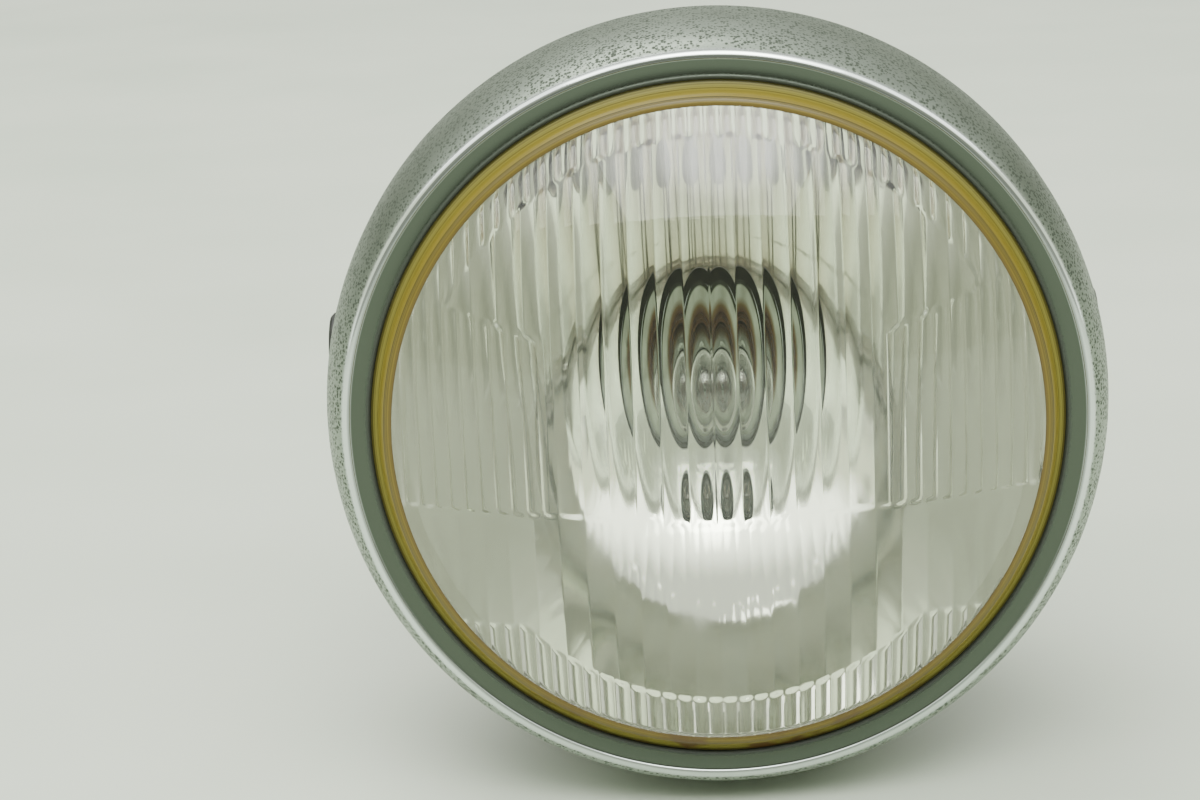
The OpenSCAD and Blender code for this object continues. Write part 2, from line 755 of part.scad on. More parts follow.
// The three flat contacts of the bulb, two upright and one across
module blades(grow, s_low = base_end_s - insulator_t - blade_len, s_high = base_end_s + 3) {
    h = s_high - s_low;
    for (side = [-1, 1])
        translate([side * blade_out - blade_t / 2 - grow, -blade_w / 2 - grow, s_low])
            cube([blade_t + 2 * grow, blade_w + 2 * grow, h]);
    translate([-blade_w / 2 - grow, blade_out - blade_t / 2 - grow, s_low])
        cube([blade_w + 2 * grow, blade_t + 2 * grow, h]);
}

module base_contacts() { color("#b59245") on_axis() blades(0); }

module spring_cap() {
    slot_low = lug_s - lug_h / 2 - slot_margin;
    slot_h = lug_h + 2 * slot_margin;
    arc = 2 * lug_half_angle + 4;
    color("#a9adb0") on_axis() difference() {
        union() {
            ring(cap_in_r, cap_out_r, cap_back_s, cap_front_s);
            ring(cap_hole_r, cap_out_r, cap_back_s - cap_wall, cap_back_s);
            // Grip dimples round the back edge
            for (turn = [0:30:330]) rotate([0, 0, turn])
                translate([cap_out_r - 2.5, -1.5, cap_back_s - cap_wall - 1.2])
                    cube([1.8, 3, 1.3]);
        }
        for (turn = [30, 150, 270]) {
            // The run of the bayonet slot, and its mouth
            rotate([0, 0, turn - arc / 2 - cap_turn]) rotate_extrude(angle = arc + cap_turn)
                translate([cap_in_r - 1, slot_low]) square([cap_wall + 2, slot_h]);
            rotate([0, 0, turn - arc / 2 - cap_turn]) rotate_extrude(angle = arc)
                translate([cap_in_r - 1, slot_low])
                    square([cap_wall + 2, cap_front_s - slot_low + 1]);
        }
    }
}

// A tube of six sides swept along a coil that widens from the cap's back to the flange
module cap_spring() {
    turns = 3;
    rings_per_turn = 16;
    sides = 6;
    wire_r = 0.5;
    low_s = cap_back_s + wire_r + 0.1;
    high_s = flange_s - flange_t - wire_r - 0.15;
    small_r = cap_hole_r + 1.2;
    large_r = collar_in_r - wire_r - 0.6;
    count = turns * rings_per_turn;
    function centre_at(i) = let (t = i / count, a = 360 * turns * t,
        r = small_r + (large_r - small_r) * t) [r * cos(a), r * sin(a), low_s + (high_s - low_s) * t];
    function ring_at(i) = let (t = i / count, a = 360 * turns * t, c = centre_at(i))
        [for (k = [0:sides - 1]) let (b = 360 * k / sides)
            c + wire_r * [cos(b) * cos(a), cos(b) * sin(a), sin(b)]];
    points = [for (i = [0:count]) each ring_at(i)];
    faces = concat(
        [[for (k = [0:sides - 1]) k]],
        [for (i = [0:count - 1]) for (k = [0:sides - 1]) let (n = (k + 1) % sides)
            [i * sides + k, (i + 1) * sides + k, (i + 1) * sides + n, i * sides + n]],
        [[for (k = [sides - 1:-1:0]) count * sides + k]]);
    pitch_gap = norm([(high_s - low_s) / turns, (large_r - small_r) / turns]) - 2 * wire_r;
    echo(least_gap_of_cap_spring = pitch_gap);
    color("#8f9496") on_axis() polyhedron(points, faces, convexity = 6);
}

module bulb_socket() {
    color("#1a1918") on_axis() difference() {
        union() {
            bar(socket_r, socket_back_s + 4, socket_front_s);
            bar(socket_r - 2, socket_back_s, socket_back_s + 5);
            for (turn = [0:30:330]) rotate([0, 0, turn])
                translate([socket_r - 1, -1, socket_back_s + 4.5]) cube([1.8, 2, socket_len - 5]);
        }
        blades(seat, base_end_s - insulator_t - blade_len - 1);
        blades(weld, socket_back_s - 1, socket_front_s - 8.6);
    }
}

// The brass tails of the socket's terminals, where the leads push on
module socket_tails() {
    color("#b59245") on_axis() blades(0, socket_back_s - tail_len, socket_front_s - 9.6);
}

module pilot_holder() {
    color("#b2b5b4") on_axis() translate([0, -pilot_drop, 0]) difference() {
        union() {
            bar(sleeve_r, pilot_back_s, pilot_front_s - 4);
            bar(pilot_hole_r + spigot_wall, pilot_back_s, pilot_back_s + pilot_flange_t);
            bar(sleeve_r, pilot_back_s - pilot_cap_len, pilot_back_s + 1);
        }
        bar(sleeve_in_r, pilot_back_s - pilot_cap_len + 1.5, pilot_front_s + 1);
        bar(1.5, pilot_back_s - pilot_cap_len - 1, pilot_back_s);
    }
}

module pilot_base() {
    color("#b9a05a") on_axis() translate([0, -pilot_drop, 0]) {
        bar(sleeve_in_r - 0.1, pilot_back_s - pilot_cap_len + 3.6, pilot_front_s - 6);
        bar(1.4, pilot_back_s - pilot_cap_len + 1.8, pilot_back_s - pilot_cap_len + 3.7);
    }
}

module pilot_glass() {
    color("#e8ecec", 0.35) on_axis() translate([0, -pilot_drop, 0]) difference() {
        union() {
            bar(pilot_glass_r, pilot_front_s - 5.95, pilot_front_s + 3);
            translate([0, 0, pilot_front_s + 3]) sphere(r = pilot_glass_r);
        }
        bar(pilot_glass_r - 0.6, pilot_front_s - 5.3, pilot_front_s + 3);
        translate([0, 0, pilot_front_s + 3]) sphere(r = pilot_glass_r - 0.6);
    }
}

module pilot_filament() {
    color("#70706c") on_axis() translate([0, -pilot_drop, 0]) {
        wire([[-1.6, 0, pilot_front_s - 5], [-1.6, 0, pilot_front_s + 2],
            [1.6, 0, pilot_front_s + 2], [1.6, 0, pilot_front_s - 5]], 0.25);
    }
}

module pilot_tail() {
    color("#b59245") on_axis() translate([0, -pilot_drop, 0]) {
        bar(1.4, pilot_back_s - pilot_cap_len - 2, pilot_back_s - pilot_cap_len + 1.5);
        translate([-tag_w / 2, -tag_t / 2, pilot_back_s - pilot_cap_len - 1.5 - pilot_tail_len])
            cube([tag_w, tag_t, pilot_tail_len]);
    }
}

bucket();
ear_bush_left();
ear_bush_right();
mouth_gasket();
harness_grommet();
hook_plate();
catch_plate();
terminal_block();
terminal_screws();
earth_tag();
earth_screw();
rim();
clip_ring();
top_hook();
rim_nut();
lens();
lens_seal();
front_gasket();
reflector();
unit_clips();
bulb_collar();
bulb_glass();
bulb_stem();
filament_main();
filament_dip();
filament_supports();
dip_shield();
bulb_base();
base_insulator();
base_contacts();
spring_cap();
cap_spring();
bulb_socket();
socket_tails();
pilot_holder();
pilot_glass();
pilot_base();
pilot_filament();
pilot_tail();
rim_screw();
rim_screw_washer();
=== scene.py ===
# %% [markdown]
# # A motorcycle headlight
# The lamp is a black steel bucket with a bright rim. The rim carries a pressed glass lens and an
# aluminised mirror. The lens stays in front of everything, so most of the work here is glass with
# real flutes, a true mirror behind it, and worn plating round it.
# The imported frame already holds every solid. Some of them keep their shape and get a finish, and
# the ones that the eye rests on are made again here with more detail.

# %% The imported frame
import math
import bmesh
import bpy
from mathutils import Matrix, Vector


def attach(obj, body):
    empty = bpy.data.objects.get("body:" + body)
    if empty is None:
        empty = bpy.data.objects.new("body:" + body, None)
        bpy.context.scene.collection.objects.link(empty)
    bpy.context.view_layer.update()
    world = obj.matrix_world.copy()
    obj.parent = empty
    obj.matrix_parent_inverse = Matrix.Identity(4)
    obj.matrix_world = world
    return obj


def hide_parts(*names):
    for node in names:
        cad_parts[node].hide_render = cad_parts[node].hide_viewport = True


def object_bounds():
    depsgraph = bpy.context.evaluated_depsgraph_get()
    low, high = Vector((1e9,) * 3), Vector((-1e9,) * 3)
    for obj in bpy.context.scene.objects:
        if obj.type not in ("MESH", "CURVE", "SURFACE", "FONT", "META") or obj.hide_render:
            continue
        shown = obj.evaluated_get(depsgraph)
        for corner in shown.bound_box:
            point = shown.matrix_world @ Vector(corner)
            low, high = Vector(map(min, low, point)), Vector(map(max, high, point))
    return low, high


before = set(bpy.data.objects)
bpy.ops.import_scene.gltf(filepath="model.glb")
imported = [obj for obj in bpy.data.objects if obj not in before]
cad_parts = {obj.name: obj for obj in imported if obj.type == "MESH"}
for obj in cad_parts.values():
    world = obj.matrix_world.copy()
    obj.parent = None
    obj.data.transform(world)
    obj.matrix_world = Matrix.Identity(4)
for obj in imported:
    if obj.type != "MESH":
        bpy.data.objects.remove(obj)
cad_box = [list(corner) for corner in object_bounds()]
MM = 0.001
print("solids in the frame:", len(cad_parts))

# %% [markdown]
# The camera looks down at the lamp by about fifteen degrees, from 0.69 m. Its place comes from
# the ellipses of the rim, which give the distance, the pitch and the small roll of the picture.

# %% Camera
CAMERA_YAW, CAMERA_PITCH, CAMERA_ROLL = (math.radians(a) for a in (-0.4, 15.13, -1.925))
CAMERA_DISTANCE = 691.7
AIM_RIGHT, AIM_UP = math.radians(-2.276), math.radians(0.494)
FOCAL_PIXELS, PICTURE_WIDTH, SENSOR_WIDTH = 2955.8, 1200, 36.0
RIM_FRONT = 85.0

backward = Vector((math.sin(CAMERA_YAW) * math.cos(CAMERA_PITCH),
                   -math.cos(CAMERA_YAW) * math.cos(CAMERA_PITCH), math.sin(CAMERA_PITCH)))
level_right = Vector((0, 0, 1)).cross(backward).normalized()
level_up = backward.cross(level_right)
rolled_right = math.cos(CAMERA_ROLL) * level_right + math.sin(CAMERA_ROLL) * level_up
rolled_up = -math.sin(CAMERA_ROLL) * level_right + math.cos(CAMERA_ROLL) * level_up
forward = (-backward + math.tan(AIM_RIGHT) * rolled_right + math.tan(AIM_UP) * rolled_up).normalized()
camera_right = forward.cross(rolled_up).normalized()
camera_up = camera_right.cross(forward)

camera_data = bpy.data.cameras.new("camera")
camera_data.lens = FOCAL_PIXELS / PICTURE_WIDTH * SENSOR_WIDTH
camera_data.sensor_width = SENSOR_WIDTH
camera_data.sensor_fit = "HORIZONTAL"
camera = bpy.data.objects.new("camera", camera_data)
axes = Matrix((camera_right, camera_up, -forward)).transposed().to_4x4()
camera_place = backward * CAMERA_DISTANCE + Vector((0, -RIM_FRONT, 0))
camera.matrix_world = Matrix.Translation(camera_place * MM) @ axes
bpy.context.scene.collection.objects.link(camera)
bpy.context.scene.camera = camera
print("camera at", [round(v, 3) for v in camera.matrix_world.translation])

# %% [markdown]
# Colours are written as they look on a screen. Blender wants linear light, so one function turns
# one into the other. A second small function adds a node with its settings and links.

# %% Colours and nodes
def linear(hex_code):
    """Turns a screen colour such as #8a8a8a into the linear colour that a shader takes."""
    parts = [int(hex_code[i:i + 2], 16) / 255 for i in (1, 3, 5)]
    return [c / 12.92 if c <= 0.04045 else ((c + 0.055) / 1.055) ** 2.4 for c in parts] + [1.0]


def put(tree, kind, inputs=None, stops=None, **settings):
    """Adds one node. An input gets a value, or a link where it is given another node's output."""
    made = tree.nodes.new(kind)
    for name, value in settings.items():
        setattr(made, name, value)
    for key, value in (inputs or {}).items():
        if isinstance(value, bpy.types.NodeSocket):
            tree.links.new(value, made.inputs[key])
        else:
            made.inputs[key].default_value = value
    if stops:
        ramp = made.color_ramp
        while len(ramp.elements) < len(stops):
            ramp.elements.new(0.5)
        for element, (place, colour) in zip(ramp.elements, stops):
            element.position = place
            element.color = linear(colour)
    return made


def new_finish(name, colour, metallic=0.0, roughness=0.5, **sockets):
    """Starts a material from its colour, and returns it with its tree and its shader."""
    material = bpy.data.materials.new(name)
    material.use_nodes = True
    shader = material.node_tree.nodes["Principled BSDF"]
    shader.inputs["Base Color"].default_value = linear(colour)
    shader.inputs["Metallic"].default_value = metallic
    shader.inputs["Roughness"].default_value = roughness
    for socket, value in sockets.items():
        shader.inputs[socket.replace("_", " ")].default_value = value
    return material, material.node_tree, shader


def per_mm(size_mm):
    """The scale of a pattern whose features are this many millimetres apart."""
    return 1.0 / (size_mm * MM)


print("a mid grey in linear light:", round(linear("#808080")[0], 3))

# %% [markdown]
# The lamp stands on a pale painted board. The main camera looks down, so it sees the board all
# round the lamp. The paint is flat and slightly greenish, with a faint cloudiness from brushing.

# %% Floor
FLOOR_Z = cad_box[0][2]
FLOOR_HALF = 15.0
BRUSH_CLOUD_MM = 160

floor_paint, tree, shader = new_finish("floor_white_paint", "#dde5d7", 0.0, 0.55)
place = put(tree, "ShaderNodeTexCoord").outputs["Object"]
clouds = put(tree, "ShaderNodeTexNoise", {"Vector": place, "Scale": per_mm(BRUSH_CLOUD_MM), "Detail": 3.0})
tint = put(tree, "ShaderNodeValToRGB", {"Fac": clouds.outputs["Fac"]},
           stops=[(0.3, "#d8e1d2"), (0.7, "#e2e9db")])
tree.links.new(tint.outputs["Color"], shader.inputs["Base Color"])

floor_mesh = bpy.data.meshes.new("floor")
floor_mesh.from_pydata([(-FLOOR_HALF, -FLOOR_HALF, FLOOR_Z), (FLOOR_HALF, -FLOOR_HALF, FLOOR_Z),
                        (FLOOR_HALF, FLOOR_HALF, FLOOR_Z), (-FLOOR_HALF, FLOOR_HALF, FLOOR_Z)],
                       [], [(0, 1, 2, 3)])
floor_mesh.materials.append(floor_paint)
floor = bpy.data.objects.new("floor", floor_mesh)
bpy.context.scene.collection.objects.link(floor)
print("floor at", round(FLOOR_Z, 4), "m")

# %% [markdown]
# Plating and mirrors show the room more than they show themselves. So the room matters. It is
# pale, and greyer just above eye level, which gives the flutes their dark flanks. A wide window
# high in front makes the bright patch in the lower half of the mirror, and one round part of its
# sky is brighter still. Two soft lamps add light from above: one over the lamp, and one over the
# floor in front of it, which the mirror shows.

# %% Room
SILL_PLANE, HEAD_PLANE = Vector((0, 0.6, 0.8)), Vector((0, 0.88, 0.47))
GLOW_TOWARDS = Vector((0.05, -0.68, 0.73))
WINDOW_LIGHT, GLOW_LIGHT = 3.0, 8.0

world = bpy.data.worlds.new("room")
world.use_nodes = True
bpy.context.scene.world = world
tree = world.node_tree
direction = put(tree, "ShaderNodeTexCoord").outputs["Generated"]
height = put(tree, "ShaderNodeSeparateXYZ", {"Vector": direction}).outputs["Z"]
level = put(tree, "ShaderNodeMapRange", {"Value": height, "From Min": -1.0, "From Max": 1.0})
room = put(tree, "ShaderNodeValToRGB", {"Fac": level.outputs["Result"]},
           stops=[(0.40, "#8f948a"), (0.50, "#c2c7bb"), (0.57, "#989d8e"), (0.7, "#9da191"),
                  (0.78, "#eef1ea")])
# the window is a wide slanted band in front: above one plane, below a steeper one, with soft edges
sill = put(tree, "ShaderNodeVectorMath", {0: direction, 1: SILL_PLANE}, operation="DOT_PRODUCT")
head = put(tree, "ShaderNodeVectorMath", {0: direction, 1: HEAD_PLANE}, operation="DOT_PRODUCT")
sideways = put(tree, "ShaderNodeSeparateXYZ", {"Vector": direction}).outputs["X"]
sides = put(tree, "ShaderNodeMath", {0: sideways}, operation="ABSOLUTE").outputs[0]
# its sill drops at both ends
drop = put(tree, "ShaderNodeMapRange", {"Value": sides, 1: 0.42, 2: 0.75, 4: 0.22}).outputs[0]
over_sill = put(tree, "ShaderNodeMath", {0: sill.outputs["Value"], 1: drop}, operation="ADD").outputs[0]
above = put(tree, "ShaderNodeMapRange", {"Value": over_sill, 1: -0.03, 2: 0.09},
            interpolation_type="SMOOTHSTEP").outputs[0]
below = put(tree, "ShaderNodeMapRange", {"Value": head.outputs["Value"], 1: 0.1, 2: -0.08},
            interpolation_type="SMOOTHSTEP").outputs[0]
pane = put(tree, "ShaderNodeMath", {0: above, 1: below}, operation="MULTIPLY").outputs[0]
# the brighter round part of the window's sky
glow = put(tree, "ShaderNodeVectorMath", {0: direction, 1: GLOW_TOWARDS}, operation="DOT_PRODUCT")
core = put(tree, "ShaderNodeMapRange", {"Value": glow.outputs["Value"], 1: 0.965, 2: 0.99},
           interpolation_type="SMOOTHSTEP").outputs[0]
# the walls beside the window are darker, which draws the flutes
wall = put(tree, "ShaderNodeMapRange", {"Value": sides, 1: 0.25, 2: 0.6, 3: 1.3, 4: 1.1},
           interpolation_type="SMOOTHSTEP").outputs[0]
open_sky = put(tree, "ShaderNodeMath", {0: pane, 1: WINDOW_LIGHT, 2: wall},
               operation="MULTIPLY_ADD").outputs[0]
strength = put(tree, "ShaderNodeMath", {0: core, 1: GLOW_LIGHT, 2: open_sky}, operation="MULTIPLY_ADD")
tree.links.new(room.outputs["Color"], tree.nodes["Background"].inputs["Color"])
tree.links.new(strength.outputs[0], tree.nodes["Background"].inputs["Strength"])
print("the room has", len(tree.nodes), "nodes")


# %% Lamps
LAMP_TINT = "#fbfdf6"


def soft_lamp(name, at, towards, size, watts, colour):
    """Adds one oblong soft lamp that looks at a point. Places are in metres."""
    data = bpy.data.lights.new(name, "AREA")
    data.shape = "RECTANGLE"
    data.size, data.size_y = size
    data.energy = watts
    data.color = linear(colour)[:3]
    lamp = bpy.data.objects.new(name, data)
    lamp.location = at
    lamp.rotation_euler = (Vector(towards) - Vector(at)).to_track_quat("-Z", "Y").to_euler()
    bpy.context.scene.collection.objects.link(lamp)
    return lamp


soft_lamp("top_lamp", (-0.5, 0.3, 1.9), (0, 0, 0), (1.6, 1.2), 24, LAMP_TINT)
soft_lamp("front_floor_lamp", (0, -1.15, 0.95), (0, -1.15, -1), (1.0, 0.9), 10, LAMP_TINT)

# %% [markdown]
# Everything on this lamp is turned about one axis, so one helper makes most pieces: it turns a
# profile round that axis. A profile is a list of (radius, forward) points in millimetres. The
# lamp's forward is the picture's near side.

# %% Turning a profile
def at(right, up, ahead):
    """A point of the lamp: right, up and ahead in millimetres."""
    return Vector((right, -ahead, up)) * MM


def new_piece(name, points, faces, material, sharp=35.0):
    """Makes a smooth shaded piece whose edges stay crisp where they turn by more than sharp."""
    mesh = bpy.data.meshes.new(name)
    mesh.from_pydata(points, [], faces)
    mesh.validate()
    mesh.shade_smooth()
    mesh.set_sharp_from_angle(angle=math.radians(sharp))
    mesh.materials.append(material)
    piece = bpy.data.objects.new(name, mesh)
    bpy.context.scene.collection.objects.link(piece)
    return piece


def turned(name, profile, material, segments=256, closed=True, sharp=35.0):
    """Turns a profile round the lamp's axis. A closed profile gives a ring."""
    points, faces, count = [], [], len(profile)
    for i in range(segments):
        a = 2 * math.pi * i / segments
        points += [at(r * math.cos(a), r * math.sin(a), s) for r, s in profile]
    for i in range(segments):
        here, there = i * count, (i + 1) % segments * count
        for k in range(count if closed else count - 1):
            n = (k + 1) % count
            faces.append((here + k, here + n, there + n, there + k))
    return new_piece(name, points, faces, material, sharp)


def cut(piece, points, faces):
    """Cuts a plain solid out of a piece, as a drill or a punch does."""
    mesh = bpy.data.meshes.new("cutter")
    mesh.from_pydata(points, [], faces)
    cutter = bpy.data.objects.new("cutter", mesh)
    bpy.context.scene.collection.objects.link(cutter)
    step = piece.modifiers.new("cut", "BOOLEAN")
    step.operation, step.solver, step.object = "DIFFERENCE", "EXACT", cutter
    made = bpy.data.meshes.new_from_object(piece.evaluated_get(bpy.context.evaluated_depsgraph_get()))
    piece.modifiers.clear()
    piece.data = made
    bpy.data.objects.remove(cutter)


def drill(piece, centre, axis, radius, length, sides=64):
    """Drills a round hole. centre and axis are in the lamp's own frame, in millimetres."""
    along = Vector(axis).normalized()
    side = along.orthogonal().normalized()
    other = along.cross(side)
    ends = []
    for half in (-0.5, 0.5):
        for i in range(sides):
            a = 2 * math.pi * i / sides
            p = Vector(centre) + along * half * length + radius * (math.cos(a) * side + math.sin(a) * other)
            ends.append(at(*p))
    walls = [(i, (i + 1) % sides, sides + (i + 1) % sides, sides + i) for i in range(sides)]
    caps = [tuple(range(sides))[::-1], tuple(range(sides, 2 * sides))]
    cut(piece, ends, walls + caps)


print("helpers ready")

# %% [markdown]
# Finishes that wear need to know where on the lamp they are. Two numbers say it: the distance
# from the axis and the distance ahead, both in millimetres, read from the piece's own
# coordinates. So the wear stays on the piece when it moves.

# %% Place on the lamp
def lamp_place(tree):
    """Adds nodes that give radius, ahead and a point in millimetres, from the piece's own coordinates."""
    own = put(tree, "ShaderNodeTexCoord").outputs["Object"]
    scaled = put(tree, "ShaderNodeVectorMath", {0: own, 3: 1 / MM}, operation="SCALE").outputs[0]
    parts = put(tree, "ShaderNodeSeparateXYZ", {"Vector": scaled})
    flat = put(tree, "ShaderNodeCombineXYZ", {"X": parts.outputs["X"], "Y": parts.outputs["Z"]})
    radius = put(tree, "ShaderNodeVectorMath", {0: flat.outputs[0]}, operation="LENGTH").outputs["Value"]
    ahead = put(tree, "ShaderNodeMath", {0: parts.outputs["Y"], 1: -1.0}, operation="MULTIPLY").outputs[0]
    return radius, ahead, scaled


print("wear follows the piece's own millimetres")

# %% [markdown]
# The rim is pressed steel with chromium plate. Years of damp have pitted its rounded band: small
# dark dots in a dull grey. The shoulder was polished often, so it is still bright. The flat ring
# in front is satin. At the lip a dark line is painted shade, and the plate there is dulled, and a thin
# painted dark reflection runs at the foot of the shoulder.
# The finish is one material. It is plate everywhere, and the radius decides how much of each
# state shows.

# %% Worn chromium plate
RIM_R, OPENING_R, FRONT_RING, SHEET = 94.0, 81.3, 5.0, 1.2
SHOULDER_R = OPENING_R + FRONT_RING
BAND_DEPTH, SKIRT_LEN, RING_DIP, LIP_DEPTH, LIP_ROUND = 27.0, 7.0, 0.4, 2.7, 0.8
WIDEST, SKIRT_END = RIM_FRONT - BAND_DEPTH, RIM_FRONT - BAND_DEPTH - SKIRT_LEN
CLOUD_MM, PIT_MM, DRIFT_MM, GRAIN_MM = 14, 0.72, 6, 0.5

rim_plate, tree, shader = new_finish("rim_chromium_plate_pitted", "#b4bcb2", 1.0, 0.4)
radius, ahead, point = lamp_place(tree)
band = put(tree, "ShaderNodeMapRange", {"Value": radius, 1: SHOULDER_R + 1.5, 2: SHOULDER_R + 2.3},
           interpolation_type="SMOOTHSTEP").outputs[0]
ring = put(tree, "ShaderNodeMapRange", {"Value": radius, 1: SHOULDER_R + 0.1, 2: SHOULDER_R - 0.5},
           interpolation_type="SMOOTHSTEP").outputs[0]
clouds = put(tree, "ShaderNodeTexNoise",
             {"Vector": point, "Scale": 1 / CLOUD_MM, "Detail": 4.0}).outputs["Fac"]
print("a band", round(RIM_R - SHOULDER_R, 1), "mm wide round a ring of", FRONT_RING, "mm")

# %% Pits
# the smallest pits are faint dots, the largest run into their neighbours, and they thicken in drifts
pits = put(tree, "ShaderNodeTexVoronoi", {"Vector": point, "Scale": 1 / PIT_MM}, feature="F1")
pit_size = put(tree, "ShaderNodeSeparateColor", {"Color": pits.outputs["Color"]}).outputs[0]
pit_drift = put(tree, "ShaderNodeTexNoise",
                {"Vector": point, "Scale": 1 / DRIFT_MM, "Detail": 3.0}).outputs["Fac"]
pit_share = put(tree, "ShaderNodeMath", {0: pit_drift, 1: 0.5, 2: 0.3},
                operation="MULTIPLY_ADD").outputs[0]
pit_reach = put(tree, "ShaderNodeMath", {0: pit_size, 1: 0.5, 2: pit_share},
                operation="MULTIPLY_ADD").outputs[0]
pit_edge = put(tree, "ShaderNodeMath", {0: pit_reach, 1: pits.outputs["Distance"]},
               operation="SUBTRACT").outputs[0]
pit_mask = put(tree, "ShaderNodeMapRange", {"Value": pit_edge, 1: 0.3, 2: 0.56}).outputs[0]
on_band = put(tree, "ShaderNodeMath", {0: pit_mask, 1: band}, operation="MULTIPLY").outputs[0]
print("pits lie", PIT_MM, "mm apart")

# %% Colour of the plate
# a fine grain where the plate has dulled
grain = put(tree, "ShaderNodeTexNoise",
            {"Vector": point, "Scale": 1 / GRAIN_MM, "Detail": 3.0}).outputs["Fac"]
dull = put(tree, "ShaderNodeMix", {"Factor": clouds, 6: linear("#7a8479"), 7: linear("#919b90")},
           data_type="RGBA").outputs[2]
grained = put(tree, "ShaderNodeMix", {"Factor": grain, 6: dull, 7: linear("#a4ada1")},
              data_type="RGBA").outputs[2]
plate = put(tree, "ShaderNodeMix", {"Factor": band, 6: linear("#d3dad8"), 7: grained},
            data_type="RGBA").outputs[2]
satin = put(tree, "ShaderNodeMix", {"Factor": ring, 6: plate, 7: linear("#4f564d")},
            data_type="RGBA").outputs[2]
pitted = put(tree, "ShaderNodeMix", {"Factor": on_band, 6: satin, 7: linear("#596057")},
             data_type="RGBA").outputs[2]
print("plate tones: shoulder, dulled band, satin ring and pit")

# %% Painted shade at the lip
# the lip's painted shade has a ragged edge, and a painted dark reflection runs at the foot of the shoulder
ragged = put(tree, "ShaderNodeMath", {0: grain, 1: 1.1, 2: OPENING_R - 0.05},
             operation="MULTIPLY_ADD").outputs[0]
lip_gap = put(tree, "ShaderNodeMath", {0: ragged, 1: radius}, operation="SUBTRACT").outputs[0]
lip_shade_and_dulling = put(tree, "ShaderNodeMapRange", {"Value": lip_gap, 1: -0.9, 2: 0.15}).outputs[0]
# painted dark reflection: a thin dark line at the foot of the shoulder
off_foot = put(tree, "ShaderNodeMath", {0: radius, 1: SHOULDER_R + 0.15}, operation="SUBTRACT").outputs[0]
foot_gap = put(tree, "ShaderNodeMath", {0: off_foot}, operation="ABSOLUTE").outputs[0]
foot_painted_reflection = put(tree, "ShaderNodeMapRange", {"Value": foot_gap, 1: 0.6, 2: 0.1, 4: 0.6}).outputs[0]
dark = put(tree, "ShaderNodeMath", {0: lip_shade_and_dulling, 1: foot_painted_reflection}, operation="MAXIMUM").outputs[0]
# the lip's painted shade and the foot's painted dark reflection darken the plate here
coloured = put(tree, "ShaderNodeMix", {"Factor": dark, 6: pitted, 7: linear("#262b26")},
               data_type="RGBA").outputs[2]
tree.links.new(coloured, shader.inputs["Base Color"])
# the lip's painted shade starts here
print("dirt starts at", OPENING_R, "mm from the axis")

# %% Gloss and relief of the plate
shiny = put(tree, "ShaderNodeMix", {"Factor": ring, "A": 0.07, "B": 0.24}).outputs[0]
dulled = put(tree, "ShaderNodeMapRange", {"Value": clouds, 3: 0.34, 4: 0.5}).outputs[0]
rough = put(tree, "ShaderNodeMix", {"Factor": band, "A": shiny, "B": dulled}).outputs[0]
rough_pit = put(tree, "ShaderNodeMath", {0: on_band, 1: 0.3, 2: rough}, operation="MULTIPLY_ADD").outputs[0]
rough_all = put(tree, "ShaderNodeMath", {0: lip_shade_and_dulling, 1: 0.4, 2: rough_pit},
                operation="MULTIPLY_ADD").outputs[0]
tree.links.new(rough_all, shader.inputs["Roughness"])
# the metal gives way to the dark paint of the lip's painted shade
metal_outside_lip = put(tree, "ShaderNodeMath", {0: 1.0, 1: lip_shade_and_dulling}, operation="SUBTRACT").outputs[0]
tree.links.new(metal_outside_lip, shader.inputs["Metallic"])
depth = put(tree, "ShaderNodeMath", {0: on_band, 1: -1.0, 2: 1.0}, operation="MULTIPLY_ADD").outputs[0]
rolled = put(tree, "ShaderNodeMath", {0: grain, 1: 0.25, 2: depth}, operation="MULTIPLY_ADD").outputs[0]
dent = put(tree, "ShaderNodeBump", {"Height": rolled, "Strength": 0.35, "Distance": 0.04 * MM})
tree.links.new(dent.outputs["Normal"], shader.inputs["Normal"])
print("the plate has", len(tree.nodes), "nodes")

# %% [markdown]
# The rim itself was spun and pressed in one piece: a straight skirt, a rounded band, a tight
# shoulder, a front ring with a shallow hollow, and a lip that turns back towards the glass.

# %% Rim
def arc(centre, radii, start, end, steps):
    """Points on a part of an ellipse, from one angle to another in degrees."""
    turns = [math.radians(start + (end - start) * i / steps) for i in range(steps + 1)]
    return [(centre[0] + radii[0] * math.cos(a), centre[1] + radii[1] * math.sin(a)) for a in turns]


band_w = RIM_R - SHOULDER_R
outer = [(RIM_R, SKIRT_END + 0.3)] + arc((SHOULDER_R, WIDEST), (band_w, BAND_DEPTH), 0, 90, 48)
flat_w = FRONT_RING - LIP_ROUND
hollow = [(SHOULDER_R - t / 24 * flat_w, RIM_FRONT - RING_DIP * math.sin(math.pi * t / 24) ** 0.4)
          for t in range(1, 24)]
lip = arc((OPENING_R + LIP_ROUND, RIM_FRONT - LIP_ROUND), (LIP_ROUND, LIP_ROUND), 90, 180, 8)
inner_lip = [(OPENING_R, RIM_FRONT - LIP_DEPTH), (OPENING_R + SHEET, RIM_FRONT - LIP_DEPTH),
             (OPENING_R + SHEET, RIM_FRONT - RING_DIP - 1), (SHOULDER_R - 0.6, RIM_FRONT - RING_DIP - 1)]
inner = [p for p in arc((SHOULDER_R, WIDEST), (band_w - SHEET, BAND_DEPTH - SHEET), 90, 0, 32)
         if p[1] < RIM_FRONT - RING_DIP - 1]
skirt = [(RIM_R - SHEET, SKIRT_END), (RIM_R - 0.3, SKIRT_END)]
rim = turned("rim_shell", outer + hollow + lip + inner_lip + inner + skirt, rim_plate, 360)
SCREW_AHEAD, SCREW_R = SKIRT_END + 5, 2.45
drill(rim, (0, -RIM_R, SCREW_AHEAD), (0, 1, 0), SCREW_R + 0.25, 16)
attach(rim, "rim_unit")
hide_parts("rim")
print("rim faces:", len(rim.data.polygons))

